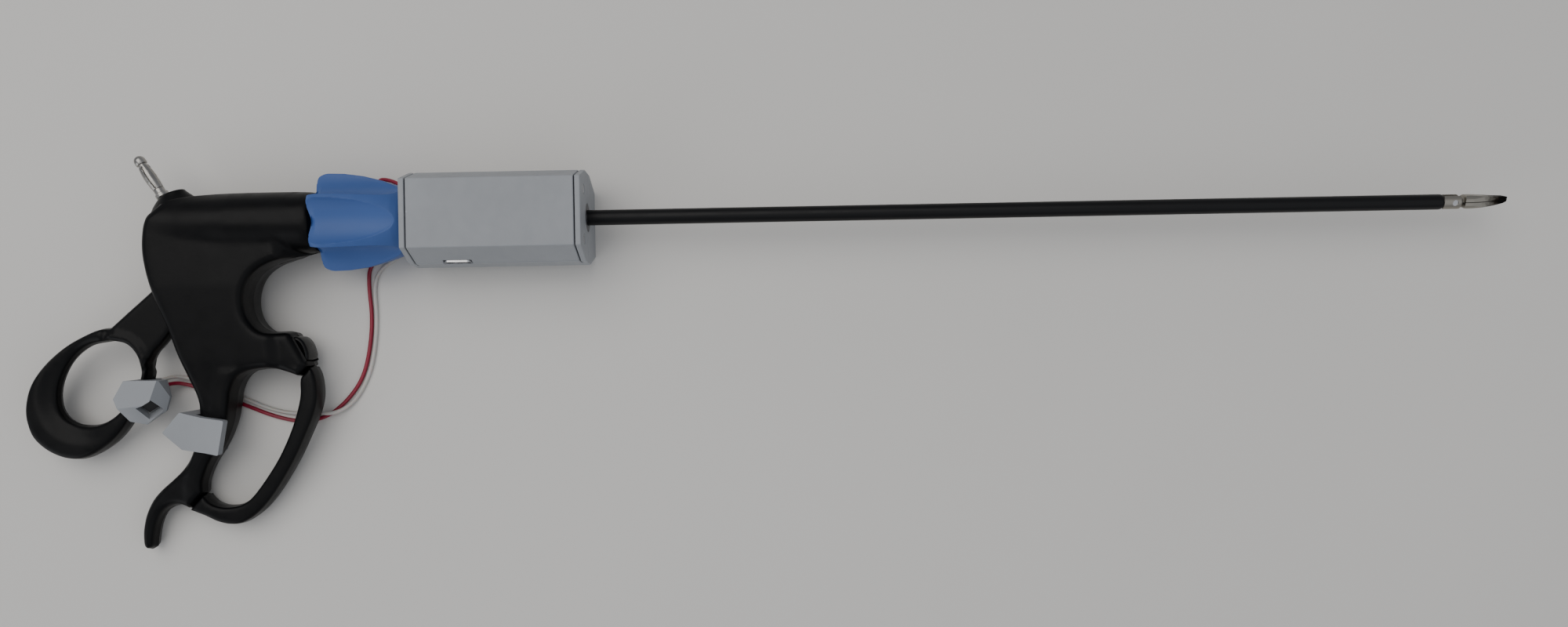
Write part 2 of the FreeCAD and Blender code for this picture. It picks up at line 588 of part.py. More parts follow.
def clevis_parts():
    reach = size("shaft_reach")
    front = reach + size("clevis_length")
    plug = x_cylinder(size("tube_bore"), reach - size("clevis_plug"), reach + 0.1)
    head = x_cylinder(size("shaft_radius"), reach, front)
    ends = [edge for edge in head.Edges if abs(edge.BoundBox.XMin - front) < 1e-4]
    clevis = plug.fuse(head.makeFillet(1.2, ends))
    slot_start = reach - 1.5
    half = size("jaw_slot_half")
    slot = Part.makeBox(front - slot_start + 1, 8, 2 * half, V(slot_start, -4, -half))
    bore_start = reach - size("clevis_plug") - 1
    bore = x_cylinder(size("rod_radius") + size("running_gap"), bore_start, slot_start + 1)
    hole = z_cylinder(size("jaw_pin"), V(JAW_PIVOT, 0, 0), -4, 4)
    sink = z_cylinder(size("jaw_pin_head"), V(JAW_PIVOT, 0, 0), size("shaft_radius") - 0.55, 4)
    clevis = clevis.cut([slot, bore, hole, sink])
    clevis.rotate(V(0, 0, 0), V(1, 0, 0), size("roll_angle"))
    shaped("clevis", clevis)

    sunk = size("shaft_radius") - 0.55
    pin = z_cylinder(size("jaw_pin"), V(JAW_PIVOT, 0, 0), -2.3, sunk + 0.1)
    cap = z_cylinder(size("jaw_pin_head"), V(JAW_PIVOT, 0, 0), sunk, sunk + 0.3)
    pin = pin.fuse(cap)
    pin.rotate(V(0, 0, 0), V(1, 0, 0), size("roll_angle"))
    shaped("jaw_pivot_pin", pin.removeSplitter())


# Jaw profile from the jaw pivot: distance along the shaft, height of the meeting line, the jaw's height.
JAW_STATIONS = [(3.4, 0.0, 2.1), (5.5, 0.0, 2.15), (9.0, 0.05, 1.85), (13.0, 0.2, 1.45), (16.2, 0.5, 1.1),
                (17.8, 0.75, 0.55)]
JAW_GAP = 0.12
SLOT_STEPS = 12
SLOT_CLEAR = 0.08


def jaw(label, side):
    line = [(JAW_PIVOT + x, mid + side * JAW_GAP, 0) for x, mid, tall in JAW_STATIONS]
    back = [(JAW_PIVOT + x, mid + side * tall, 0.6) for x, mid, tall in JAW_STATIONS]
    blade = slab(line + back[::-1], -2.2, 2.2)
    base, waist, tip = JAW_PIVOT + 3.3, JAW_PIVOT + 6, JAW_PIVOT + size("jaw_reach") - 0.4
    plan = slab([(base, -2.2, 0), (waist, -2.2, 4), (tip, -0.75, 0.7), (tip, 0.75, 0.7), (waist, 2.2, 4),
                 (base, 2.2, 0)], -8, 8)
    plan.rotate(V(0, 0, 0), V(1, 0, 0), 90)
    through_port = x_cylinder(size("shaft_radius") - size("running_gap"), base, tip + 1)
    blade = blade.common(plan).common(through_port)

    inner = size("tail_inner") if side > 0 else -size("tail_outer")
    outer = size("tail_outer") if side > 0 else -size("tail_inner")
    arm = size("drive_arm")
    rear = JAW_PIVOT - arm - 0.4
    front = JAW_PIVOT + 3.6
    plate = slab([(rear, -side * 0.75, 0.3), (JAW_PIVOT + 2.4, -side * 1.45, 0.5),
                  (JAW_PIVOT + 2.95, -side * JAW_GAP, 0), (front, side * JAW_GAP, 0),
                  (front, side * 1.55, 0), (rear, side * 1.55, 0.3)], inner, outer)
    hub = z_cylinder(1.55, V(JAW_PIVOT, 0, 0), inner, outer)
    solid = blade.fuse([plate, hub])
    cuts = [z_cylinder(size("jaw_pin") + size("running_gap"), V(JAW_PIVOT, 0, 0), -3, 3)]
    travel = drive_travel()
    for i in range(SLOT_STEPS + 1):
        share = i / SLOT_STEPS
        turn = side * share * math.radians(size("jaw_swing"))
        reach = arm - share * travel
        spot = V(JAW_PIVOT - reach * math.cos(turn), reach * math.sin(turn), 0)
        cuts.append(z_cylinder(size("drive_pin") + SLOT_CLEAR, spot, -3, 3))
    solid = solid.cut(cuts).removeSplitter()
    solid = max(solid.Solids, key=lambda item: item.Volume)
    solid.rotate(V(0, 0, 0), V(1, 0, 0), size("roll_angle"))
    shaped(label, solid)


def drive_travel():
    # The rod's travel while the lever swings from rest to its limit.
    return size("pivot_drop") * math.radians(size("lever_swing"))


def octagon(inset="0"):
    # The box's section: flat top and bottom, sloped shoulders and short upright sides.
    flat, side = "box_flat - 0.4*" + inset, "box_side"
    half, deep = "box_half_width - " + inset, "box_half_depth - " + inset
    return flat, side, half, deep


def lower_section(inset, top):
    flat, side, half, deep = octagon(inset)
    left, floor = "-(" + half + ")", "-(" + deep + ")"
    return [(left, top), (left, "-" + side), ("-(" + flat + ")", floor), (flat, floor),
            (half, "-" + side), (half, top)]


def box_base():
    owner = body("box_base")
    corners = lower_section("0.0", "seam_height")
    block = profile(owner, "base_section", "YZ_Plane", corners, "-box_length")
    feature(owner, "Pad", "base_block", block, "box_length")
    room = lower_section("box_wall", "seam_height + 1")
    sketch = profile(owner, "base_room_section", "YZ_Plane", room, "-box_wall")
    feature(owner, "Pocket", "base_room", sketch, "box_length - 2*box_wall")
    left, right = "-box_half_width - 1", "box_half_width + 1"
    ends = [(left, "0"), (right, "0"), (right, "seam_height + 1"), (left, "seam_height + 1")]
    front = profile(owner, "front_step_section", "YZ_Plane", ends, "1")
    feature(owner, "Pocket", "front_step", front, "box_wall + 1 + touch_gap")
    rear = profile(owner, "rear_step_section", "YZ_Plane", ends, "-box_length + box_wall + touch_gap")
    feature(owner, "Pocket", "rear_step", rear, "box_wall + 1 + touch_gap")
    bore = disc(owner, "bush_bore_circle", "YZ_Plane", "bush_radius", offset="1")
    feature(owner, "Pocket", "bush_bore", bore, "box_length + 2")
    port = profile(owner, "port_section", "XZ_Plane", port_room("port_clear"))
    feature(owner, "Pocket", "port_cut", port, "box_half_width + 1", reverse=True)
    for number, (x, y) in enumerate(post_spots()):
        post = disc(owner, "post_circle_%d" % number, "XY_Plane", "board_post", x, y,
                    "-box_half_depth + 0.5")
        feature(owner, "Pad", "post_%d" % number, post, "box_half_depth - 0.5 + " + BOARD_LEVEL)


BOARD_LEVEL = "(port_height + port_tall/2)"


def port_room(gap):
    return [("-port_centre - port_width/2 - " + gap, "port_height - port_tall/2 - " + gap),
            ("-port_centre + port_width/2 + " + gap, "port_height - port_tall/2 - " + gap),
            ("-port_centre + port_width/2 + " + gap, "port_height + port_tall/2 + " + gap),
            ("-port_centre - port_width/2 - " + gap, "port_height + port_tall/2 + " + gap)]


def post_spots():
    spots = []
    for x in ("-box_length/2 - board_length/2 + 3", "-box_length/2 + board_length/2 - 3"):
        for y in ("-board_half_width + 1.8", "board_half_width - 1.8"):
            spots.append((x, y))
    return spots


def box_cover():
    owner = body("box_cover")
    flat, side, half, deep = octagon("0.0")
    fall = "(seam_height - box_side)/(box_half_depth - box_side)"
    shoulder = "(box_half_width - (box_half_width - box_flat)*" + fall + ")"
    low = "seam_height + touch_gap"
    outer = [("-" + shoulder, low), (shoulder, low), (flat, deep), ("-(" + flat + ")", deep)]
    length = "box_length - 2*box_wall - 2*touch_gap"
    start = "-box_length + box_wall + touch_gap"
    block = profile(owner, "cover_section", "YZ_Plane", outer, start)
    feature(owner, "Pad", "cover_block", block, length)
    inner = [("-" + shoulder + " + box_wall", low + " - 1"), (shoulder + " - box_wall", low + " - 1"),
             (flat + " - 0.4*box_wall - 0.4", "box_half_depth - box_wall"),
             ("-(" + flat + " - 0.4*box_wall - 0.4)", "box_half_depth - box_wall")]
    sketch = profile(owner, "cover_room_section", "YZ_Plane", inner, "-box_wall - plate_lug")
    feature(owner, "Pocket", "cover_room", sketch, "box_length - 2*box_wall - 2*plate_lug")
    for number, sign in enumerate(("-", "")):
        hole = disc(owner, "cover_hole_%d" % number, "YZ_Plane", "screw_radius", sign + "screw_spread",
                    "screw_height")
        feature(owner, "Pocket", "cover_drill_%d" % number, hole, "box_length")
    port = profile(owner, "cover_port_section", "XZ_Plane", port_room("port_clear"))
    feature(owner, "Pocket", "cover_port", port, "box_half_width + 1", reverse=True)


def end_plate(label, front):
    owner = body(label)
    flat, side, half, deep = octagon("0.0")
    low = "touch_gap"
    start = "-box_wall" if front else "-box_length"
    outer = [("-(" + half + ")", low), (half, low), (half, side), (flat, deep), ("-(" + flat + ")", deep),
             ("-(" + half + ")", side)]
    block = profile(owner, label + "_section", "YZ_Plane", outer, start)
    feature(owner, "Pad", label + "_block", block, "box_wall")
    bore = disc(owner, label + "_bore_circle", "YZ_Plane", "bush_radius", offset="1")
    feature(owner, "Pocket", label + "_bore", bore, "box_length + 2")
    for number, sign in enumerate(("-", "")):
        hole = disc(owner, "%s_hole_%d" % (label, number), "YZ_Plane", "screw_radius",
                    sign + "screw_spread", "screw_height", "1")
        feature(owner, "Pocket", "%s_drill_%d" % (label, number), hole, "box_length + 2")
        face = "0" if front else "-box_length + screw_recess"
        sink = disc(owner, "%s_sink_%d" % (label, number), "YZ_Plane", "screw_head + touch_gap",
                    sign + "screw_spread", "screw_height", face)
        feature(owner, "Pocket", "%s_recess_%d" % (label, number), sink, "screw_recess")


def box_small_parts():
    wall, length, recess = size("box_wall"), size("box_length"), size("screw_recess")
    screws = []
    for sign in (-1, 1):
        spot = V(0, sign * size("screw_spread"), size("screw_height"))
        for outside, inward in ((0, -1), (-length, 1)):
            head_low = spot + V(outside + inward * recess, 0, 0)
            height = recess - 0.2
            head = bar(head_low, head_low - V(inward * height, 0, 0), size("screw_head"))
            cross = Part.makeBox(0.6, 2.0, 0.45, head_low + V(-inward * height - 0.3, -1.0, -0.225))
            shank_end = head_low + V(inward * (size("screw_length") - recess), 0, 0)
            shank = bar(head_low, shank_end, size("screw_radius"))
            screws.append(head.fuse(shank).removeSplitter().cut(cross))
    shaped("box_screws", Part.makeCompound(screws))

    for label, start, end in (("bush_front", -wall - size("bush_inside"), -size("bush_set_back")),
                              ("bush_rear", -length, -length + wall + size("bush_inside"))):
        sleeve = x_cylinder(size("bush_radius") - size("touch_gap"), start, end)
        bore = x_cylinder(size("tube_radius") + size("running_gap"), start - 1, end + 1)
        shaped(label, sleeve.cut(bore))

    board = doc.addObject("Part::Box", "circuit_board")
    board.Label = "circuit_board"
    bind(board, Length="board_length", Width="2*board_half_width", Height="board_thickness",
         Placement__Base__x="-box_length/2 - board_length/2", Placement__Base__y="-board_half_width",
         Placement__Base__z="port_height + port_tall/2 + touch_gap")

    cell = doc.addObject("Part::Box", "battery_cell")
    cell.Label = "battery_cell"
    bind(cell, Length="cell_length", Width="2*cell_half_width", Height="cell_thickness",
         Placement__Base__x="-box_length/2 - cell_length/2", Placement__Base__y="-cell_half_width",
         Placement__Base__z="-box_half_depth + box_wall + touch_gap")

    board_level = size("port_height") + size("port_tall") / 2
    width, tall, depth = size("port_width"), size("port_tall"), size("port_depth")
    mouth = -size("box_half_width") + 0.25
    skin = 0.3
    middle = -size("port_centre")
    corner = V(middle - width / 2, mouth, board_level - tall)
    shell = rounded_along_y(Part.makeBox(width, depth, tall, corner), tall / 2 - 0.05)
    room = Part.makeBox(width - 2 * skin, depth - 0.8, tall - 2 * skin, corner + V(skin, -0.01, skin))
    room = rounded_along_y(room, tall / 2 - skin - 0.05)
    shaped("port_shell", shell.cut(room))
    wide, thick = size("tongue_width"), size("tongue_thickness")
    set_back = 1.1
    tongue_corner = V(middle - wide / 2, mouth + set_back, size("port_height") - thick / 2)
    reach = depth - 0.8 - set_back - size("touch_gap")
    shaped("port_tongue", Part.makeBox(wide, reach, thick, tongue_corner))


def rounded_along_y(solid, radius):
    depth = solid.BoundBox.YLength
    edges = [edge for edge in solid.Edges if edge.BoundBox.YLength > depth - 0.01]
    return solid.makeFillet(radius, edges)


# Clip outlines seen along Z, drawn like the handle's outlines. The thumb clip is a narrow snap round
# the ring's limb under a wider housing.
CLIP_THUMB = [(-62.9, -50.2, 0.5), (-51.7, -50.3, 0.5), (-50.6, -55.9, 0.5), (-52.3, -60.5, 0.5),
              (-59.2, -65.0, 0.5), (-64.0, -63.8, 0.5), (-66.6, -56.1, 0.5)]
CLIP_SNAP = [(-62.9, -50.2, 0.5), (-57.4, -50.3, 0.5), (-57.0, -56.0, 0.5), (-58.6, -60.6, 0.5),
             (-61.8, -63.6, 0.5), (-64.0, -63.8, 0.5), (-66.6, -56.1, 0.5)]
HOUSING_FLOOR = 3.5
CLIP_FINGER = [(-51.5, -67.4, 0.5), (-45.5, -60.8, 0.5), (-42.9, -61.9, 0.5), (-31.3, -63.8, 0.5),
               (-33.9, -75.2, 0.5), (-38.2, -74.2, 0.5), (-45.4, -73.0, 0.5)]
CLIP_NOSE = [(-51.5, -67.4, 0.5), (-45.5, -60.8, 0.5), (-39.0, -62.5, 0), (-40.5, -73.8, 0),
             (-45.4, -73.0, 0.5)]
DUCT_MOUTH = V(HANDLE_FRONT - 56.2, -59.6, 7.2)
DUCT_ANGLE = -60.0
DUCT_RISE = 45.0
MAGNET_FOOT = V(HANDLE_FRONT - 47.6, -66.6, 1.5)
MAGNET_WAY = V(-0.9, 0.35, 0)


def beyond(first, second, third):
    # Everything past the plane through three points, on the side that faces up.
    way = (second - first).cross(third - first).normalize()
    if way.z < 0:
        way = way * -1
    return Part.makeCylinder(40, 40, placed_point(first), way)


def placed_point(spot):
    return V(HANDLE_FRONT + spot.x, spot.y, spot.z)


def along_duct(solid):
    solid.rotate(V(0, 0, 0), V(0, 1, 0), -DUCT_RISE)
    solid.rotate(V(0, 0, 0), V(0, 0, 1), DUCT_ANGLE)
    solid.translate(DUCT_MOUTH)
    return solid


def clips():
    top, back = size("clip_top"), size("clip_back")
    clear = size("touch_gap")
    half, depth = size("duct_half"), size("duct_depth")
    limb = slab(placed(LEVER), -size("lever_half") - clear, size("lever_half") + clear)
    limb = limb.cut(slab(placed(RING_HOLE), -10, 10))
    housing = slab(placed(CLIP_THUMB), HOUSING_FLOOR, top)
    housing = housing.cut([
        beyond(V(-51.9, -49.9, top), V(-54.3, -55.6, top), V(-50.6, -55.4, 5.0)),
        beyond(V(-63.4, -59.0, top), V(-60.0, -58.7, top), V(-59.5, -63.8, 5.0)),
    ])
    thumb = housing.fuse(slab(placed(CLIP_SNAP), -back, HOUSING_FLOOR)).cut(limb)
    thumb = thumb.cut(along_duct(Part.makeBox(depth + 9, 2 * half, 2 * half, V(-depth, -half, -half))))
    thumb = thumb.removeSplitter()
    shaped("sensor_clip_thumb", max(thumb.Solids, key=lambda item: item.Volume), tilt=True)
    chip = along_duct(Part.makeBox(2.0, 3.6, 4.0, V(-depth + clear, -1.8, -2.0)))
    shaped("gap_sensor", chip, tilt=True)

    grip_top = size("grip_half") + clear
    grip = slab(placed(GRIP_POST), -grip_top, grip_top)
    plate = slab(placed(CLIP_FINGER), grip_top, top)
    nose = slab(placed(CLIP_NOSE), -size("clip_under"), top)
    under = slab(placed(CLIP_FINGER), -size("clip_under"), -grip_top)
    finger = plate.fuse([nose, under]).cut(grip)
    radius, length = size("magnet_radius"), size("magnet_length")
    finger = finger.cut(Part.makeCylinder(radius + clear, length + 0.1, MAGNET_FOOT, MAGNET_WAY))
    finger = max(finger.removeSplitter().Solids, key=lambda item: item.Volume)
    shaped("sensor_clip_finger", finger, tilt=True)
    shaped("target_magnet", Part.makeCylinder(radius, length, MAGNET_FOOT, MAGNET_WAY), tilt=True)


# Wire routes, chosen by hand: from the box's rear face, under the knob, over the table to the thumb
# clip.
RED_ROUTE = [
    (-57.5, 9.5, -5.0), (-62.3, 12.6, -7.2), (-67.3, 14.4, -9.9), (-69.2, 9.9, -13.6),
    (-65.2, 4.4, -14.1), (-63.6, -3.0, -14.1), (-67.5, -9.4, -14.1), (-74.2, -13.4, -14.1),
    (-77.2, -20.6, -14.1), (-76.4, -30.5, -14.1), (-77.3, -39.8, -14.1), (-79.6, -48.7, -14.1),
    (-84.6, -57.6, -14.1), (-92.0, -63.6, -14.1), (-101.0, -65.1, -14.1), (-110.3, -62.9, -14.1),
    (-119.2, -59.2, -14.1), (-126.2, -56.3, -14.1), (-132.6, -53.9, -14.1), (-138.4, -51.7, -13.6),
    (-142.6, -50.9, -11.4), (-144.35, -52.0, -8.7),
]
WHITE_ROUTE = [
    (-57.5, 2.5, -11.5), (-61.5, 1.0, -13.5), (-62.6, -5.0, -14.1), (-66.4, -10.6, -14.1),
    (-72.5, -15.2, -14.1), (-75.1, -22.6, -14.1), (-74.4, -31.4, -14.1), (-75.2, -40.2, -14.1),
    (-77.4, -49.3, -14.1), (-82.2, -58.2, -14.1), (-88.6, -62.6, -12.2), (-95.8, -61.9, -12.4),
    (-103.6, -62.2, -14.1), (-111.6, -60.4, -14.1), (-119.5, -56.9, -14.1), (-126.0, -54.2, -14.1),
    (-132.4, -51.9, -14.1), (-137.9, -49.6, -13.4), (-142.3, -48.6, -11.0), (-144.5, -50.2, -7.6),
]
BEND_SHARE = 0.45


def tube_path(points):
    # Straight runs joined by tangent arcs, each arc as large as its two runs allow.
    spots = [V(*point) for point in points]
    edges = []
    last = spots[0]
    tightest = 1e9
    for before, here, after in zip(spots, spots[1:], spots[2:]):
        back, ahead = before - here, after - here
        half = back.getAngle(ahead) / 2
        cut = BEND_SHARE * min(back.Length, ahead.Length)
        radius = cut * math.tan(half)
        tightest = min(tightest, radius)
        back_unit, ahead_unit = V(back).normalize(), V(ahead).normalize()
        first, end = here + back_unit * cut, here + ahead_unit * cut
        inward = (back_unit + ahead_unit).normalize()
        centre = here + inward * (radius / math.sin(half))
        edges.append(Part.LineSegment(last, first).toShape())
        edges.append(Part.Arc(first, centre - inward * radius, end).toShape())
        last = end
    edges.append(Part.LineSegment(last, spots[-1]).toShape())
    return Part.Wire(edges), tightest


def wires():
    for label, route in (("red_wire", RED_ROUTE), ("white_wire", WHITE_ROUTE)):
        path, tightest = tube_path(route)
        way = V(*route[1]) - V(*route[0])
        ring = Part.Wire(Part.makeCircle(size("wire_radius"), V(*route[0]), way))
        tube = path.makePipeShell([ring], True, True)
        wanted = math.pi * size("wire_radius") ** 2 * path.Length
        print("%s: length %.1f, tightest bend %.2f, volume %.1f of %.1f"
              % (label, path.Length, tightest, tube.Volume, wanted))
        shaped(label, tube)


def build():
    handle_shells()
    finger_loop()
    thumb_lever()
    handle_pins()
    release_parts()
    plug_parts()
    push_rod()
    rotation_knob()
    shaft_parts()
    clevis_parts()
    jaw("jaw_upper", 1)
    jaw("jaw_lower", -1)
    box_base()
    box_cover()
    end_plate("box_front_plate", True)
    end_plate("box_rear_plate", False)
    box_small_parts()
    clips()
    wires()


def export():
    doc.recompute()
    for item in doc.Objects:
        if "Invalid" in item.State or "Error" in item.State:
            raise RuntimeError("object failed: " + item.Label)
    kinds = ("PartDesign::Body", "Part::Feature", "Part::Box")
    nodes = [item for item in doc.Objects if item.TypeId in kinds]
    faulty = [item.Label for item in nodes if item.Shape.isNull() or not item.Shape.isValid()]
    if faulty:
        raise RuntimeError("bad shape: " + ", ".join(faulty))
    for item in nodes:
        item.Shape.exportStep("parts/%s.step" % item.Label)
        box = item.Shape.BoundBox
        print("%-20s solids %d" % (item.Label, len(item.Shape.Solids)),
              " x %.2f %.2f  y %.2f %.2f" % (box.XMin, box.XMax, box.YMin, box.YMax),
              " z %.2f %.2f" % (box.ZMin, box.ZMax))


build()
export()
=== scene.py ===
import json
import math
import bmesh
import bpy
import numpy as np
from mathutils.geometry import delaunay_2d_cdt
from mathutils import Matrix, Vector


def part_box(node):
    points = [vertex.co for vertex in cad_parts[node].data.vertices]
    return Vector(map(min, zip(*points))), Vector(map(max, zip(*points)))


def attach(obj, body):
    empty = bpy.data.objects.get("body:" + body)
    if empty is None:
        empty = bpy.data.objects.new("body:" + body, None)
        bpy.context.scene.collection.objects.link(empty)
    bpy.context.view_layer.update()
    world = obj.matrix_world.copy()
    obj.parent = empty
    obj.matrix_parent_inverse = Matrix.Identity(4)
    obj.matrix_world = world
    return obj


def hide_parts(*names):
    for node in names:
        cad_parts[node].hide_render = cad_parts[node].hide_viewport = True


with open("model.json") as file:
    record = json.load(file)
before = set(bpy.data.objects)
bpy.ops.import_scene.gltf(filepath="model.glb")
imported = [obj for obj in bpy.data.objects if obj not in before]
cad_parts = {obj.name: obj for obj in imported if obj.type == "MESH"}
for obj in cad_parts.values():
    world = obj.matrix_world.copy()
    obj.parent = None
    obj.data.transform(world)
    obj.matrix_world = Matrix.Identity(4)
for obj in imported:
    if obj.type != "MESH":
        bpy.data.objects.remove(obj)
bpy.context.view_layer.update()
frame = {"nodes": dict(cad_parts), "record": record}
nodes = frame["nodes"]
scene = bpy.context.scene
print("frame loaded:", len(nodes), "nodes")

mm = 0.001
handleFront = -88.0   # the handle's front face, in millimetres along the shaft
tilt = math.radians(5.8)   # the handle rests rolled about the shaft


def newObject(name, data):
    item = bpy.data.objects.new(name, data)
    scene.collection.objects.link(item)
    return item


# Camera, set as the photograph was taken: straight down, 386 mm over the shaft
view = {"x": 62.98, "y": -69.33, "height": 385.6, "roll": -1.073, "lens": 27.0, "sensor": 36.0,
        "shiftUp": 0.0715}
lens = bpy.data.cameras.new("camera")
lens.lens = view["lens"]
lens.sensor_width = view["sensor"]
lens.shift_y = view["shiftUp"]
lens.clip_start = 0.01
camera = newObject("camera", lens)
camera.location = (view["x"] * mm, view["y"] * mm, view["height"] * mm)
camera.rotation_euler = (0, 0, math.radians(view["roll"]))
scene.camera = camera


# Material kit
def link(tree, a, b):
    tree.links.new(a, b)


def newMaterial(name, roughness=0.5, metallic=0.0, **sockets):
    # An empty principled material; whatever is the same all over goes on the shader's own sockets
    mat = bpy.data.materials.new(name)
    mat.use_nodes = True
    tree = mat.node_tree
    shader = tree.nodes["Principled BSDF"]
    shader.inputs["Roughness"].default_value = roughness
    shader.inputs["Metallic"].default_value = metallic
    for key, value in sockets.items():
        shader.inputs[key.replace("_", " ")].default_value = value
    return mat, tree, shader


def objectPlace(tree, stretch=(1, 1, 1)):
    # Object coordinates, stretched where a finish has a grain
    place = tree.nodes.new("ShaderNodeTexCoord")
    mapping = tree.nodes.new("ShaderNodeMapping")
    mapping.inputs["Scale"].default_value = stretch
    link(tree, place.outputs["Object"], mapping.inputs["Vector"])
    return mapping.outputs["Vector"]


def noise(tree, place, scale, detail=3.0):
    node = tree.nodes.new("ShaderNodeTexNoise")
    node.inputs["Scale"].default_value = scale
    node.inputs["Detail"].default_value = detail
    node.inputs["Roughness"].default_value = 0.55
    link(tree, place, node.inputs["Vector"])
    return node.outputs["Fac"]


def ramp(tree, fac, stops):
    # A colour ramp from (position, colour) stops
    node = tree.nodes.new("ShaderNodeValToRGB")
    while len(node.color_ramp.elements) < len(stops):
        node.color_ramp.elements.new(0.5)
    for element, (position, colour) in zip(node.color_ramp.elements, stops):
        element.position = position
        element.color = (*colour, 1.0)
    link(tree, fac, node.inputs["Fac"])
    return node.outputs["Color"]


def spread(tree, fac, low, high, fromLow=0.3, fromHigh=0.7):
    node = tree.nodes.new("ShaderNodeMapRange")
    node.inputs["From Min"].default_value = fromLow
    node.inputs["From Max"].default_value = fromHigh
    node.inputs["To Min"].default_value = low
    node.inputs["To Max"].default_value = high
    link(tree, fac, node.inputs["Value"])
    return node.outputs["Result"]


def bump(tree, shader, height, strength, distance, under=None):
    node = tree.nodes.new("ShaderNodeBump")
    node.inputs["Strength"].default_value = strength
    node.inputs["Distance"].default_value = distance
    link(tree, height, node.inputs["Height"])
    if under:
        link(tree, under, node.inputs["Normal"])
    link(tree, node.outputs["Normal"], shader.inputs["Normal"])
    return node.outputs["Normal"]


def darker(colour, share):
    return tuple(c * share for c in colour)


def plastic(name, colour, roughness, grain=900.0, grainDepth=0.00004, blotch=60.0, vary=0.12, **sockets):
    # Moulded plastic: soft large blotches in tone and gloss over a fine spark-eroded grain
    mat, tree, shader = newMaterial(name, roughness, **sockets)
    place = objectPlace(tree)
    blotches = noise(tree, place, blotch, 4.0)
    tone = ramp(tree, blotches, [(0.3, darker(colour, 1 - vary)), (0.7, darker(colour, 1 + vary))])
    link(tree, tone, shader.inputs["Base Color"])
    link(tree, spread(tree, noise(tree, place, blotch * 3.1, 5.0), roughness - 0.06, roughness + 0.06),
         shader.inputs["Roughness"])
    bump(tree, shader, noise(tree, place, grain, 2.0), 0.35, grainDepth)
    return mat


def steel(name, colour, roughness, stretch=(1, 1, 1), grain=400.0):
    # Worked metal: hair lines along the stretch, with a slight stain
    mat, tree, shader = newMaterial(name, roughness, 1.0)
    place = objectPlace(tree, stretch)
    lines = noise(tree, place, grain, 4.0)
    stain = noise(tree, objectPlace(tree), 150.0, 3.0)
    link(tree, ramp(tree, stain, [(0.3, darker(colour, 0.8)), (0.65, colour)]), shader.inputs["Base Color"])
    link(tree, spread(tree, lines, roughness - 0.08, roughness + 0.1), shader.inputs["Roughness"])
    bump(tree, shader, lines, 0.25, 0.00003)
    return mat


def printedPlastic(name, colour, roughness=0.55):
    # Printed plastic: fine layer lines stacked along Z, a rough grain and a few pale specks
    mat, tree, shader = newMaterial(name, roughness)
    place = objectPlace(tree)
    blotches = noise(tree, place, 35.0, 5.0)
    tone = ramp(tree, blotches, [(0.3, darker(colour, 0.93)), (0.7, darker(colour, 1.05))])
    specks = tree.nodes.new("ShaderNodeTexVoronoi")
    specks.inputs["Scale"].default_value = 260.0
    link(tree, place, specks.inputs["Vector"])
    dots = spread(tree, specks.outputs["Distance"], 1.0, 0.0, 0.05, 0.11)
    picked = spread(tree, noise(tree, place, 45.0, 2.0), 0.0, 1.0, 0.60, 0.66)
    both = tree.nodes.new("ShaderNodeMath")
    both.operation = "MULTIPLY"
    link(tree, dots, both.inputs[0])
    link(tree, picked, both.inputs[1])
    mix = tree.nodes.new("ShaderNodeMix")
    mix.data_type = "RGBA"
    link(tree, both.outputs["Value"], mix.inputs["Factor"])
    link(tree, tone, mix.inputs["A"])
    mix.inputs["B"].default_value = (*darker(colour, 1.75), 1.0)
    link(tree, mix.outputs["Result"], shader.inputs["Base Color"])
    layers = noise(tree, objectPlace(tree, (0.04, 0.04, 1.0)), 4200.0, 1.0)
    link(tree, spread(tree, noise(tree, place, 300.0, 3.0), roughness - 0.07, roughness + 0.08),
         shader.inputs["Roughness"])
    first = bump(tree, shader, layers, 0.3, 0.00005)
    bump(tree, shader, noise(tree, place, 1400.0, 3.0), 0.3, 0.00005, first)
    return mat


burn = {"from": 0.2955, "to": 0.3015, "wander": 0.006}   # metres along the shaft


def jawMaterial(name, colour, roughness):
    # Bright steel that turns burnt brown and black towards the tips, with soot in patches
    mat, tree, shader = newMaterial(name, roughness, 1.0)
    place = objectPlace(tree)
    axes = tree.nodes.new("ShaderNodeSeparateXYZ")
    link(tree, place, axes.inputs["Vector"])
    patches = noise(tree, place, 700.0, 4.0)
    add = tree.nodes.new("ShaderNodeMath")
    add.operation = "MULTIPLY_ADD"
    link(tree, patches, add.inputs[0])
    add.inputs[1].default_value = burn["wander"]
    link(tree, axes.outputs["X"], add.inputs[2])
    burnt = spread(tree, add.outputs["Value"], 0.0, 1.0, burn["from"], burn["to"])
    tone = ramp(tree, burnt, [(0.0, colour), (0.35, darker(colour, 0.55)), (0.7, (0.03, 0.022, 0.017)),
                              (1.0, (0.008, 0.007, 0.006))])
    link(tree, tone, shader.inputs["Base Color"])
    link(tree, spread(tree, burnt, roughness, 0.62, 0.0, 1.0), shader.inputs["Roughness"])
    bump(tree, shader, noise(tree, objectPlace(tree, (0.2, 1, 1)), 500.0, 4.0), 0.25, 0.00003)
    return mat


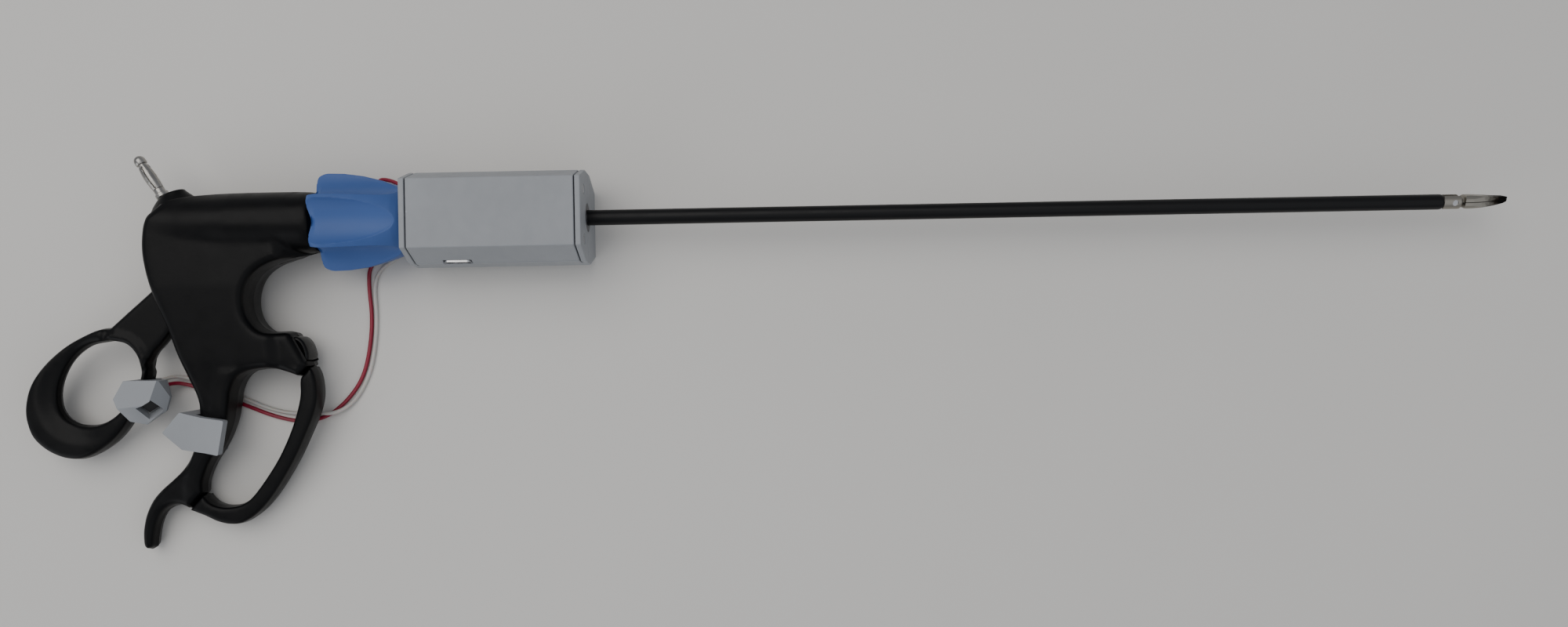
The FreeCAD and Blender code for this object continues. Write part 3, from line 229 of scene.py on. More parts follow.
materials = {
    "handle_plastic": plastic("blackMoulding", (0.0026, 0.0026, 0.0029), 0.34, Specular_IOR_Level=0.15),
    "button_plastic": plastic("buttonMoulding", (0.0026, 0.0026, 0.0029), 0.28, Specular_IOR_Level=0.2),
    "pin_steel": steel("turnedSteel", (0.55, 0.55, 0.56), 0.3),
    "spring_steel": steel("springSteel", (0.52, 0.5, 0.46), 0.3),
    "plug_nickel": steel("nickelPlate", (0.40, 0.39, 0.37), 0.26, grain=300.0),
    "printed_grey": printedPlastic("greyPrint", (0.31, 0.325, 0.345)),
    "bush_plastic": plastic("bushPlastic", (0.05, 0.05, 0.055), 0.4),
    "board_green": plastic("solderMask", (0.02, 0.16, 0.07), 0.35),
    "cell_wrap": steel("foilPouch", (0.5, 0.51, 0.54), 0.35),
    "port_steel": steel("drawnSteel", (0.72, 0.72, 0.73), 0.2, stretch=(1, 0.05, 1)),
    "port_black": plastic("blackConnector", (0.012, 0.012, 0.012), 0.45),
    "magnet": steel("magnetPlate", (0.5, 0.5, 0.52), 0.25),
    "wire_red": plastic("redSilicone", (0.26, 0.006, 0.03), 0.38, grain=700.0, grainDepth=0.00002),
    "wire_white": plastic("whiteSilicone", (0.52, 0.50, 0.47), 0.35, grain=700.0, grainDepth=0.00002,
                          Subsurface_Weight=0.3, Subsurface_Scale=0.001),
    "knob_blue": plastic("blueMoulding", (0.046, 0.108, 0.32), 0.46, grain=1100.0, grainDepth=0.00003,
                         blotch=40.0, vary=0.05, Specular_IOR_Level=0.4),
    "pawl_plastic": plastic("naturalAcetal", (0.6, 0.58, 0.53), 0.4),
    "insulation_black": plastic("shaftSleeve", (0.004, 0.004, 0.0045), 0.38, grain=1500.0,
                                grainDepth=0.00003, Specular_IOR_Level=0.22),
    "tube_steel": steel("drawnTube", (0.5, 0.5, 0.52), 0.3, stretch=(0.03, 1, 1)),
    "jaw_steel": jawMaterial("jawSteel", (0.33, 0.31, 0.27), 0.36),
}
for part in frame["record"]["subparts"]:
    mesh = nodes[part["node"]].data
    mesh.materials.clear()
    mesh.materials.append(materials[part["material_slot"]])


# Surface kit. Every new piece is one of two kinds: a height over a plan, or rings along a path.
def smoothRun(points, step=0.6):
    # A Catmull-Rom curve through the points, cut to even steps
    spots = np.array(points, float)
    padded = np.vstack([2 * spots[0] - spots[1], spots, 2 * spots[-1] - spots[-2]])
    t = np.linspace(0, 1, 20, endpoint=False)[:, None]
    a, b, c, d = padded[:-3, None], padded[1:-2, None], padded[2:-1, None], padded[3:, None]
    square, cube = 2 * a - 5 * b + 4 * c - d, 3 * b - a - 3 * c + d
    curve = 0.5 * (2 * b + (c - a) * t + square * t ** 2 + cube * t ** 3)
    curve = np.vstack([curve.reshape(-1, 2), spots[-1:]])
    along = np.concatenate([[0], np.cumsum(np.hypot(*np.diff(curve, axis=0).T))])
    even = np.linspace(0, along[-1], max(1, round(along[-1] / step)) + 1)
    return np.column_stack([np.interp(even, along, curve[:, k]) for k in (0, 1)])


def closedLoop(*runs, step=0.6):
    # Smooth runs that meet at corners, wound anticlockwise
    loop = np.vstack([smoothRun(run, step)[:-1] for run in runs])
    ahead = np.roll(loop, -1, axis=0)
    area = np.sum(loop[:, 0] * ahead[:, 1] - ahead[:, 0] * loop[:, 1])
    return loop if area > 0 else loop[::-1]


def edgeDistance(spots, loops, skip=None):
    # How far each spot is from the nearest side of the loops
    best = np.full(len(spots), 1e9)
    for loop in loops:
        ahead = np.roll(loop, -1, axis=0)
        start, side = loop, ahead - loop
        if skip:
            kept = ~skip((loop + ahead) / 2)
            start, side = start[kept], side[kept]
        for first in range(0, len(spots), 1500):
            gap = spots[first:first + 1500, None] - start
            share = np.clip(np.sum(gap * side, 2) / np.maximum(np.sum(side * side, 1), 1e-9), 0, 1)
            gap = gap - share[..., None] * side
            near = np.sqrt(np.sum(gap * gap, 2).min(axis=1))
            best[first:first + 1500] = np.minimum(best[first:first + 1500], near)
    return best


def inLoop(spots, loop):
    # Counts how often a ray from each spot crosses the loop
    x, y = spots[:, 0, None], spots[:, 1, None]
    ahead = np.roll(loop, -1, axis=0)
    crosses = (loop[:, 1] > y) != (ahead[:, 1] > y)
    rise = ahead[:, 1] - loop[:, 1]
    rise = np.where(np.abs(rise) < 1e-9, 1e-9, rise)
    at = loop[:, 0] + (y - loop[:, 1]) * (ahead[:, 0] - loop[:, 0]) / rise
    return (crosses & (x < at)).sum(1) % 2 == 1


def ease(value, low, high):
    # A smooth step from 0 at low to 1 at high
    t = np.clip((value - low) / (high - low), 0, 1)
    return t * t * (3 - 2 * t)


def softMax(a, b, blend):
    # The larger of two heights, with a fillet about as wide as blend where they cross
    share = np.clip(0.5 + (a - b) / (2 * blend), 0, 1)
    return b + (a - b) * share + blend * share * (1 - share)


def softMin(a, b, blend):
    return -softMax(-a, -b, blend)


def planMesh(outer, holes, rings, spacing):
    # Triangles over an outline: rows of points that follow its edge at the given depths, and a hex grid
    # further in
    apart = 0.28   # no two points of a row lie much closer than this
    loops = [outer] + [hole[::-1] for hole in holes]
    rows = []
    for loop in loops:
        along = np.roll(loop, -1, axis=0) - np.roll(loop, 1, axis=0)
        inward = np.column_stack([-along[:, 1], along[:, 0]]) / np.linalg.norm(along, axis=1)[:, None]
        for depth in rings:
            row = loop + inward * depth
            row = row[edgeDistance(row, loops) > depth * 0.985]   # but where another side is nearer
            cell = np.round(row / apart).astype(int)
            rows.append(row[np.unique(cell, axis=0, return_index=True)[1]])
    low, high = outer.min(axis=0), outer.max(axis=0)
    across = np.arange(low[0], high[0], spacing)
    up = np.arange(low[1], high[1], spacing * 0.866)
    gridX, gridY = np.meshgrid(across, up)
    gridX = gridX + (np.arange(len(up))[:, None] % 2) * spacing / 2
    grid = np.column_stack([gridX.ravel(), gridY.ravel()])
    grid = grid[edgeDistance(grid, loops) > rings[-1] + spacing * 0.45]
    inner = np.vstack(rows + [grid])
    inner = inner[inLoop(inner, outer)]
    for hole in holes:
        inner = inner[~inLoop(inner, hole)]
    spots, sides = [], []
    for loop in loops:
        first = sum(len(s) for s in spots)
        order = first + np.arange(len(loop))
        sides += np.column_stack([order, np.roll(order, -1)]).tolist()
        spots.append(loop)
    spots = np.vstack(spots + [inner])
    found = delaunay_2d_cdt([tuple(s) for s in spots], sides, [], 0, 1e-5)
    spots = np.array([tuple(v) for v in found[0]])
    faces = np.array(found[2])
    middle = spots[faces].mean(axis=1)
    kept = inLoop(middle, outer)
    for hole in holes:
        kept &= ~inLoop(middle, hole)
    faces = faces[kept]
    rim = edgeDistance(spots, loops) < 1e-3
    return spots, faces, rim


def addPiece(name, spots, faces, slotName, sharp=40.0, turned=True):
    # Makes the object: handle pieces are worked out flat, in millimetres from the handle's front
    spots = np.array(spots, float)
    if turned:
        x, y, z = spots.T
        spots = np.column_stack([x + handleFront, y * math.cos(tilt) - z * math.sin(tilt),
                                 y * math.sin(tilt) + z * math.cos(tilt)])
    mesh = bpy.data.meshes.new(name)
    mesh.from_pydata((spots * mm).tolist(), [], [list(map(int, face)) for face in faces])
    mesh.update()
    mesh.shade_smooth()
    mesh.set_sharp_from_angle(angle=math.radians(sharp))
    mesh.materials.append(materials[slotName])
    return newObject(name, mesh)


def dress(piece, body, node):
    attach(piece, body)
    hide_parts(node)


def heightPiece(name, plan, top, bottom, slotName, body, node):
    # A closed piece between two heights over one plan; both meet at the plan's rim
    spots, faces, rim = plan
    upper, lower = top(spots), bottom(spots)
    upper = np.where(rim, (upper + lower) / 2, upper)
    under = np.where(rim, np.arange(len(spots)), 0)
    under[~rim] = len(spots) + np.arange((~rim).sum())
    points = np.vstack([np.column_stack([spots, upper]), np.column_stack([spots[~rim], lower[~rim]])])
    used = np.vstack([faces, under[faces][:, ::-1]])
    dress(addPiece(name, points, used, slotName), body, node)


def edgeDrop(depth, radius, draft, height):
    # How far the surface lies under its plateau near the edge: a quarter round, then a drafted wall
    inside = np.clip(depth - draft, 0, radius)
    quarter = radius - np.sqrt(np.maximum(radius ** 2 - (radius - inside) ** 2, 0))
    wall = np.clip(1 - depth / draft, 0, 1)
    return quarter + wall * np.maximum(height - radius, 0)


def ringMesh(rings, closedEnds=(True, True)):
    # Quads between rings of equal length, with a fan at each closed end
    rings = np.asarray(rings, float)
    rows, count = rings.shape[:2]
    spots = rings.reshape(-1, 3)
    i, j = np.meshgrid(np.arange(rows - 1), np.arange(count), indexing="ij")
    ahead = (j + 1) % count
    here, beyond = i * count, (i + 1) * count
    faces = np.stack([here + j, here + ahead, beyond + ahead, beyond + j], axis=-1).reshape(-1, 4).tolist()
    for end, closed in zip((0, rows - 1), closedEnds):
        if closed:
            spots = np.vstack([spots, rings[end].mean(axis=0)])
            ring = end * count + np.arange(count)
            following = end * count + (np.arange(count) + 1) % count
            pairs = (following, ring) if end == 0 else (ring, following)
            faces += [[int(a), int(b), len(spots) - 1] for a, b in zip(*pairs)]
    return spots, faces


def roundEdges(depths, radius, draft):
    # Depths of the rows near an edge: down the wall, then round the quarter
    wall = [depth for depth in (0.12, draft * 0.6, draft) if depth <= draft]
    return wall + [draft + radius * (1 - math.cos(math.radians(angle))) for angle in depths]


def hoop(place, size, turn):
    # A circle about the shaft's axis
    return np.column_stack([np.full(len(turn), place), size * np.cos(turn), size * np.sin(turn)])


# The handle's outlines, seen along Z in its own plane: millimetres back from its front face and up
# from the shaft axis.
topEdge = [(0, 9.5), (-3, 9.95), (-14, 10.05), (-27.5, 9.9), (-37, 9.3), (-42, 8.7), (-47, 7.5),
           (-50.4, 5.2)]
backEdge = [(-50.4, 5.2), (-53.4, 2.4), (-54.9, -1.6), (-55.6, -8.2), (-55.0, -14.9), (-53.6, -21.1),
            (-51.6, -27.4), (-49.4, -33.7), (-47.0, -42.4), (-43.8, -51.0), (-42.0, -55.9), (-41.5, -60.5),
            (-42.7, -67.0), (-45.5, -75.0), (-48.6, -79.6), (-53.0, -83.6), (-56.9, -86.8), (-60.3, -90.5),
            (-62.8, -95.2), (-64.2, -100.3), (-64.5, -104.6), (-64.2, -106.6)]
hookEnd = [(-64.2, -106.6), (-62.6, -107.5), (-60.5, -106.4)]
hookFront = [(-60.5, -106.4), (-59.8, -102.4), (-58.7, -98.5), (-56.9, -95.3), (-54.4, -93.3),
             (-51.6, -92.5), (-49.6, -93.0), (-47.8, -94.0)]
postSeam = [(-47.8, -94.0), (-42.5, -88.6)]
postFront = [(-42.5, -88.6), (-42.1, -84.6), (-39.8, -79.2), (-36.4, -74.0), (-33.9, -69.3), (-32.0, -64.2),
             (-30.8, -58.5), (-30.0, -54.4), (-27.6, -50.2), (-23.4, -48.1), (-17.0, -47.5), (-12.2, -48.8),
             (-8.0, -50.3)]
loopSeam = [(-8.0, -50.3), (-4.2, -46.6)]
buttonEdge = [(-4.2, -46.6), (-4.7, -45.2), (-6.4, -42.0), (-8.3, -38.2), (-9.6, -35.6)]
shelfEdge = [(-9.6, -35.6), (-11.5, -35.2), (-15.5, -35.3), (-18.3, -34.9), (-20.6, -33.3), (-22.4, -30.6),
             (-23.2, -27.0), (-23.0, -23.2), (-21.7, -19.4), (-19.3, -16.3), (-15.6, -13.9), (-11.0, -12.3),
             (-6.0, -11.1), (-2.5, -10.2), (0, -9.6)]
frontEdge = [(0, -9.6), (0, 9.5)]
handleLoop = closedLoop(topEdge, backEdge, hookEnd, hookFront, postSeam, postFront, loopSeam, buttonEdge,
                        shelfEdge, frontEdge)
cavity = {
    "mouth": {"depth": 5.0, "shape": [(-21, -45.4), (-1, -45.4), (-1, -37.2), (-21, -37.2)]},
    "armSlot": {"depth": 4.6, "shape": [(-66, -9.2), (-44, -9.2), (-42.4, -25), (-48.6, -34.8),
                                        (-56.8, -44.9), (-66, -44.9)]},
}
handleShape = {
    "edge": 2.2, "draft": 0.45, "spacing": 1.35, "blend": 1.2, "frontRound": 1.5, "thinnest": 0.03,
    "level": [-120, -92, -60, -52, -44, -20, 20], "half": [3.7, 4.0, 6.5, 6.8, 7.4, 8.6, 8.6],
    "barrelAt": [-55, -50, -41, -27, -14, -3, 0], "barrel": [7.0, 8.0, 9.1, 10.0, 10.1, 10.0, 9.6],
    "shoulder": -14, "gripFade": (-13, -2), "edgeFade": (-15, -4),   # where grip and edge end forward
    "oval": 75, "ovalSquash": 0.72,   # the section of the back above the axis
    "lip": 0.35, "lipWidth": (6.2, 5.4), "lipTop": (-46.4, -48.5), "lipFoot": (-92, -86),
    "step": 1.3, "stepAlong": (-17.5, -13.5), "stepTop": (-33.6, -36.2), "stepFoot": (-52, -48),
    "crownEdge": 1.2, "crownFade": 5,   # the rounded edge fades out towards the barrel's crown
}


def handleTop(spots):
    # The larger of a flat grip and a round barrel, less a rounded, drafted edge; a lip runs round the
    # finger opening, and a step runs down to the button
    shape = handleShape
    x, y = spots.T
    depth = edgeDistance(spots, [handleLoop], skip=lambda p: p[:, 0] > -0.01)   # but the open front
    barrel = np.interp(x, shape["barrelAt"], shape["barrel"])
    crown = np.sqrt(np.maximum(barrel ** 2 - y ** 2, 0))
    fade = 1 - ease(x, *shape["gripFade"])
    grip = np.interp(y, shape["level"], shape["half"]) * np.where(y > shape["shoulder"], fade, 1)
    oval = np.sqrt(np.maximum(shape["oval"] - y ** 2 * shape["ovalSquash"], 0))
    height = softMax(crown, np.where(y > 0, np.minimum(grip, oval), grip), shape["blend"])
    hole = edgeDistance(spots, [smoothRun(postFront)])
    lip = ease(hole, *shape["lipWidth"]) * ease(y, *shape["lipTop"]) * ease(y, *shape["lipFoot"])
    height = height + shape["lip"] * lip
    step = ease(x, *shape["stepAlong"]) * ease(y, *shape["stepTop"]) * ease(y, *shape["stepFoot"])
    height = height - shape["step"] * step
    kept = np.where(y > 0, np.clip((barrel - y - shape["crownEdge"]) / shape["crownFade"], 0, 1), 1)
    kept = np.where((y <= 0) & (y > shape["shoulder"]), 1 - 0.999 * ease(x, *shape["edgeFade"]), kept)
    height = height - kept * edgeDrop(depth, shape["edge"], shape["draft"], height)
    front = np.clip(shape["frontRound"] + x, 0, shape["frontRound"])
    rounding = shape["frontRound"] - np.sqrt(shape["frontRound"] ** 2 - front ** 2)
    height = height - rounding * (height > 3)
    return np.maximum(height, handleUnder(spots) + shape["thinnest"])


def handleUnder(spots):
    # Flat on the parting plane, deeper over the button's mouth and the lever's slot
    deep = np.zeros(len(spots))
    for place in cavity.values():
        deep = np.where(inLoop(spots, np.array(place["shape"], float)), place["depth"], deep)
    return deep


def handleShells():
    rows = roundEdges((20, 40, 58, 75, 90), handleShape["edge"], handleShape["draft"])
    spots, faces, rim = planMesh(handleLoop, (), rows, handleShape["spacing"])
    heightPiece("handleUpper", (spots, faces, rim), handleTop, handleUnder, "handle_plastic", "handle",
                "handle_shell_upper")
    mirrored = (spots, faces[:, ::-1], rim)
    heightPiece("handleLower", mirrored, lambda s: -handleTop(s), lambda s: -handleUnder(s),
                "handle_plastic", "handle", "handle_shell_lower")


handleShells()
print("handle shells made")


# The finger loop: a strip with rounded edges that joins the post to the button's housing
loopOuter = [(-4.2, -46.6), (-3.0, -49.3), (-2.4, -52.8), (-2.5, -57.4), (-4.0, -62.8), (-7.1, -69.5),
             (-11.4, -77.8), (-16.8, -86.3), (-21.4, -92.3), (-25.8, -96.4), (-30.4, -98.9), (-34.6, -99.2),
             (-38.6, -98.2), (-42.6, -96.2), (-47.8, -94.0)]
loopInner = [(-42.5, -88.6), (-41.6, -90.2), (-39.6, -92.0), (-36.2, -93.0), (-31.8, -92.7), (-28.6, -91.4),
             (-25.8, -89.0), (-21.6, -83.8), (-17.2, -77.4), (-13.7, -71.0), (-11.0, -64.8), (-9.2, -59.4),
             (-8.4, -55.6), (-8.3, -52.6), (-8.0, -50.3)]
loopOutline = closedLoop(loopOuter, postSeam, loopInner, loopSeam)
loopShape = {"edge": 1.1, "draft": 0.3, "spacing": 1.1, "level": [-100, -90, -60, -46],
             "half": [3.9, 4.1, 4.5, 4.5]}


def loopTop(spots):
    # As thick as its level asks, less a rounded, drafted edge
    shape = loopShape
    depth = edgeDistance(spots, [loopOutline])
    height = np.interp(spots[:, 1], shape["level"], shape["half"])
    return np.maximum(height - edgeDrop(depth, shape["edge"], shape["draft"], height), 0.0)


def fingerLoop():
    rows = roundEdges((25, 55, 90), loopShape["edge"], loopShape["draft"])
    plan = planMesh(loopOutline, (), rows, loopShape["spacing"])
    heightPiece("loopStrip", plan, loopTop, lambda s: -loopTop(s), "handle_plastic", "handle",
                "finger_loop")


fingerLoop()


# The thumb lever: a flat arm that runs into a raised ring, sunk towards the hole on its far side
ringOuter = [(-70.0, -32.9), (-74.0, -33.4), (-79.0, -35.3), (-84.3, -38.0), (-89.6, -42.0), (-94.4, -47.0),
             (-97.8, -52.2), (-99.6, -58.2), (-99.65, -63.4), (-98.0, -68.8), (-94.2, -72.9),
             (-89.2, -75.6), (-84.4, -76.5), (-80.2, -75.8), (-76.0, -73.8), (-71.0, -70.1),
             (-66.6, -65.0), (-62.2, -57.4), (-58.5, -50.0), (-57.9, -44.8)]
armLower = [(-57.9, -44.8), (-56.0, -41.6), (-52.2, -37.6), (-40.8, -24.0), (-31.2, -12.4), (-27.6, -8.4)]
armHub = [(-27.6, -8.4), (-27.6, -5.9), (-29.8, -4.0), (-33.2, -4.0), (-36.6, -6.0)]
armUpper = [(-36.6, -6.0), (-45.4, -12.2), (-55.4, -20.8), (-63.4, -27.4), (-70.0, -32.9)]
ringHole = [(-69.9, -37.4), (-76.6, -38.5), (-81.4, -41.2), (-85.2, -45.2), (-87.9, -50.2), (-89.1, -54.8),
            (-88.9, -59.0), (-87.2, -62.2), (-84.2, -64.3), (-80.4, -65.1), (-76.4, -64.8), (-72.3, -63.2),
            (-68.6, -60.5), (-64.6, -55.6), (-61.0, -49.4), (-60.9, -45.4), (-62.1, -41.6), (-65.0, -38.6),
            (-69.9, -37.4)]
ringCrease = [(-70.4, -34.6), (-66.8, -34.4), (-62.9, -35.6), (-60.2, -38.2), (-58.6, -41.8),
              (-58.0, -45.6), (-64, -52), (-80, -62), (-86, -50), (-74, -38), (-70.4, -34.6)]
leverOutline = closedLoop(ringOuter, armLower, armHub, armUpper)
holeOutline = closedLoop(ringHole)
leverShape = {"edge": 1.4, "draft": 0.35, "spacing": 1.2, "ring": 4.0, "arm": 3.2,
              "rise": (-0.1, 0.9), "riseBack": (71, 73), "riseTop": (30, 34), "riseLow": (46, 48),
              "dish": 1.5, "dishAlong": (70, 86), "dishWidth": (1.0, 7.2)}


def leverTop(spots):
    # Arm level outside the crease, ring level inside it; the ring's far side slopes to the hole
    shape = leverShape
    x, y = spots.T
    depth = edgeDistance(spots, [leverOutline, holeOutline])
    hole = edgeDistance(spots, [holeOutline])
    crease = closedLoop(ringCrease)
    apart = edgeDistance(spots, [crease]) * np.where(inLoop(spots, crease), 1, -1)
    back = ease(-x, *shape["riseBack"]) * ease(-y, *shape["riseTop"])
    onRing = np.maximum(ease(apart, *shape["rise"]), back)
    onRing = np.maximum(onRing, ease(-y, *shape["riseLow"]))
    height = shape["arm"] + (shape["ring"] - shape["arm"]) * onRing
    far = ease(-x, *shape["dishAlong"])
    height = height - shape["dish"] * far * (1 - ease(hole, *shape["dishWidth"]))
    return np.maximum(height - edgeDrop(depth, shape["edge"], shape["draft"], height), 0.0)


def thumbLever():
    rows = roundEdges((25, 55, 90), leverShape["edge"], leverShape["draft"])
    plan = planMesh(leverOutline, (holeOutline,), rows, leverShape["spacing"])
    heightPiece("leverRing", plan, leverTop, lambda s: -leverTop(s), "handle_plastic", "thumb_lever",
                "thumb_lever")


thumbLever()

# The release button: an oval face with a raised rim, half under the shell
buttonLoop = closedLoop([(-10.4, -37.9), (-9.2, -36.9), (-7.4, -37.1), (-5.8, -38.6), (-4.9, -40.6),
                         (-4.4, -43.0), (-4.7, -44.7), (-5.8, -45.2), (-7.2, -44.6), (-11.0, -44.0),
                         (-12.4, -41.0), (-10.4, -37.9)], step=0.4)
button = {"half": 4.55, "sunk": 0.45, "rim": (0.9, 1.7), "edge": 0.9, "draft": 0.2, "spacing": 0.8,
          "rimRows": [1.3, 1.7, 2.2]}


def buttonTop(spots):
    # A plateau, sunk inside its rim, less a rounded edge
    depth = edgeDistance(spots, [buttonLoop])
    height = button["half"] - button["sunk"] * ease(depth, *button["rim"])
    return np.maximum(height - edgeDrop(depth, button["edge"], button["draft"], height), 0.0)


def releaseButton():
    rows = roundEdges((25, 55, 90), button["edge"], button["draft"]) + button["rimRows"]
    plan = planMesh(buttonLoop, (), rows, button["spacing"])
    heightPiece("buttonFace", plan, buttonTop, lambda s: -buttonTop(s), "button_plastic", "release_button",
                "release_button")


releaseButton()

# The plug's boss: an oval neck that leans back from the barrel and narrows to a flat tip
boss = {
    "lean": 20, "points": 56,
    "rings": [   # centre x, centre y, half width, half height
        (-46.8, 4.2, 9.0, 6.8), (-47.2, 6.2, 7.9, 5.8), (-47.6, 7.6, 6.7, 4.8), (-47.7, 8.7, 5.6, 4.2),
        (-47.65, 9.5, 4.8, 3.8), (-47.5, 10.0, 4.3, 3.6), (-47.4, 10.35, 3.9, 3.35),
        (-47.4, 10.45, 3.5, 3.0),
    ],
}


def plugBoss():
    # Ovals whose planes lean with the boss's tip
    turn = np.linspace(0, 2 * np.pi, boss["points"], endpoint=False)
    lean = math.radians(boss["lean"])
    across = np.array([math.cos(lean), math.sin(lean), 0])
    rings = []
    for centreX, centreY, wide, tall in boss["rings"]:
        ring = np.array([centreX, centreY, 0]) + np.outer(wide * np.cos(turn), across)
        ring[:, 2] = tall * np.sin(turn)
        rings.append(ring)
    spots, faces = ringMesh(rings)
    piece = addPiece("plugBoss", spots, faces, "handle_plastic", 50)
    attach(piece, "handle")


plugBoss()
print("handle pieces made")

# The knob: six flutes between narrow ridges, a waist towards the nose
knob = {
    "nose": -58.5, "length": 29.0, "flute": 10.0, "floor": 10.7, "steps": 720, "turned": -7.2,
    "bead": 0.3, "beadWidth": 0.45, "beadStart": (2, 5), "ridgeBlend": 0.15, "rearWave": 0.7,
    "at": [0, 0.25, 0.7, 1.5, 2.6, 3.6, 4.6, 8.7, 15.1, 20.9, 26.1, 28.0, 28.7, 29.0],
    "crest": [12.4, 14.0, 14.7, 15.2, 15.6, 15.74, 15.74, 15.6, 14.7, 13.2, 11.5, 10.6, 10.1, 9.3],
    "rearRings": [(0.9, 10.6), (1.4, 9.0), (0, 6.6), (-2, 6.4), (-3.9, 6.4), (-4.0, 7.7), (-6.5, 7.7),
                  (-6.5, 2.4)],   # place from the rear end, radius
    "noseRings": [(0, 8.6), (-0.3, 7.0), (-0.3, 2.4)],   # place from the nose, radius
}


def rotationKnob():
    # Radius by place and turn: the smaller of the turned profile and a ring of hollow cylinders, with
    # a low bead along each flute's rim; at the rear end the middles of the flutes are drawn in
    rear = knob["nose"] - knob["length"]
    along = np.concatenate([np.linspace(0, 4.6, 26), np.linspace(4.6, 26, 40)[1:],
                            np.linspace(26, 29, 14)[1:]])
    turn = np.linspace(0, 2 * np.pi, knob["steps"], endpoint=False)
    crest = np.interp(along, knob["at"], knob["crest"])[:, None]
    middle = knob["floor"] + knob["flute"]
    fromFlute = (turn + math.radians(knob["turned"])) % (np.pi / 3) - np.pi / 6
    side = middle * np.abs(np.sin(fromFlute))
    flute = middle * np.cos(fromFlute) - np.sqrt(np.maximum(knob["flute"] ** 2 - side ** 2, 0.01))
    inset = knob["rearWave"] * (1 - ease(along, 0, 2.2))[:, None] * np.cos(fromFlute * 3) ** 2
    cut = flute[None] - inset
    start = ease(along, *knob["beadStart"])[:, None]
    bead = knob["bead"] * np.exp(-((cut - crest) / knob["beadWidth"]) ** 2) * start
    radius = np.minimum(softMin(crest, cut, knob["ridgeBlend"]) + bead, crest)
    x = np.repeat((rear + along)[:, None], knob["steps"], axis=1)
    x = x + knob["rearWave"] * np.cos(fromFlute * 3)[None] ** 2 * (1 - ease(along, 0, 3))[:, None]
    rings = np.stack([x, radius * np.cos(turn), radius * np.sin(turn)], axis=-1)
    inner = [hoop(rear + place, size, turn) for place, size in knob["rearRings"]]
    nose = [hoop(knob["nose"] + place, size, turn) for place, size in knob["noseRings"]]
    spots, faces = ringMesh(np.array(inner[::-1] + list(rings) + nose))
    piece = addPiece("knobBody", spots, [face[::-1] for face in faces], "knob_blue", 32, turned=False)
    dress(piece, "shaft", "rotation_knob")


rotationKnob()
print("knob made")


# The plug: a neck, four sprung leaves with slits between them, and a domed tip
plug = {
    "foot": (-50.4, 9.2), "angle": 121.0, "steps": 120,
    "slitDepth": 0.55, "slitHalf": 0.2, "slitEdge": 0.12, "slitStart": (3.3, 3.7), "slitEnd": (11.0, 11.5),
    "at": [0, 0.25, 1.3, 1.45, 1.6, 2.9, 3.0, 3.15, 4.0, 5.8, 7.8, 9.8, 11.1, 11.6, 11.7, 12.3, 12.4, 12.6,
           13.7, 14.4, 14.9, 15.2, 15.3],
    "size": [2.0, 2.2, 2.2, 2.0, 1.75, 1.75, 1.5, 1.72, 1.85, 2.05, 2.1, 1.95, 1.75, 1.6, 1.25, 1.25, 1.75,
             1.85, 1.85, 1.65, 1.25, 0.7, 0.15],
}


def bananaPlug():
    # A turned profile, pressed in along four narrow slits between the leaves' ends
    base = np.array(plug["at"])
    along = np.unique(np.concatenate([base, np.linspace(3.2, 11.5, 34)]))
    size = np.interp(along, base, plug["size"])
    turn = np.linspace(0, 2 * np.pi, plug["steps"], endpoint=False)
    fromSlit = np.abs((turn + np.pi / 4) % (np.pi / 2) - np.pi / 4)[None] * size[:, None]
    leaves = (ease(along, *plug["slitStart"]) * (1 - ease(along, *plug["slitEnd"])))[:, None]
    slit = 1 - ease(fromSlit, plug["slitHalf"], plug["slitHalf"] + plug["slitEdge"])
    radius = size[:, None] - plug["slitDepth"] * leaves * slit
    angle = math.radians(plug["angle"])
    way = np.array([math.cos(angle), math.sin(angle), 0])
    side = np.array([-math.sin(angle), math.cos(angle), 0])
    foot = np.array([*plug["foot"], 0])
    rings = foot + along[:, None, None] * way + (radius * np.cos(turn))[..., None] * side
    rings[..., 2] += radius * np.sin(turn)
    spots, faces = ringMesh(rings)
    piece = addPiece("bananaPlug", spots, faces, "plug_nickel", 35)
    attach(piece, "handle")
    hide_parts("plug_core", "plug_collar", "plug_cage")


bananaPlug()

# The shaft's sleeve, with its far end shrunk round
sleeve = {"out": 2.5, "in": 2.2, "points": 64, "rings": 24,
          "end": [(-1.1, 0.0), (-0.7, 0.03), (-0.4, 0.09), (-0.18, 0.18), (-0.04, 0.28)]}   # place, drop


def shaftSleeve():
    # Rings along the shaft, from the bore round the outside to the rounded end and back to the first
    low, high = (np.array(v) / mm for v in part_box("shaft_insulation"))
    profile = [(low[0], sleeve["in"]), (low[0], sleeve["out"])]
    profile += [(x, sleeve["out"]) for x in np.linspace(low[0] + 1, high[0] - 3, sleeve["rings"])]
    profile += [(high[0] + back, sleeve["out"] - drop) for back, drop in sleeve["end"]]
    profile += [(profile[-1][0], sleeve["in"]), profile[0]]
    turn = np.linspace(0, 2 * np.pi, sleeve["points"], endpoint=False)
    spots, faces = ringMesh([hoop(x, size, turn) for x, size in profile], (False, False))
    count = len(spots) - sleeve["points"]   # the last ring is the first one again
    spots, faces = spots[:count], [[v % count for v in face] for face in faces]
    piece = addPiece("shaftSleeve", spots, [face[::-1] for face in faces], "insulation_black", 60,
                     turned=False)
    dress(piece, "shaft", "shaft_insulation")


shaftSleeve()


# Printed parts keep the solids' shapes: each is a copy with its edges softened
softening = {"weld": 1e-6, "flat": 1.5, "sharp": 32, "segments": 2, "box": 0.3, "clip": 0.25}


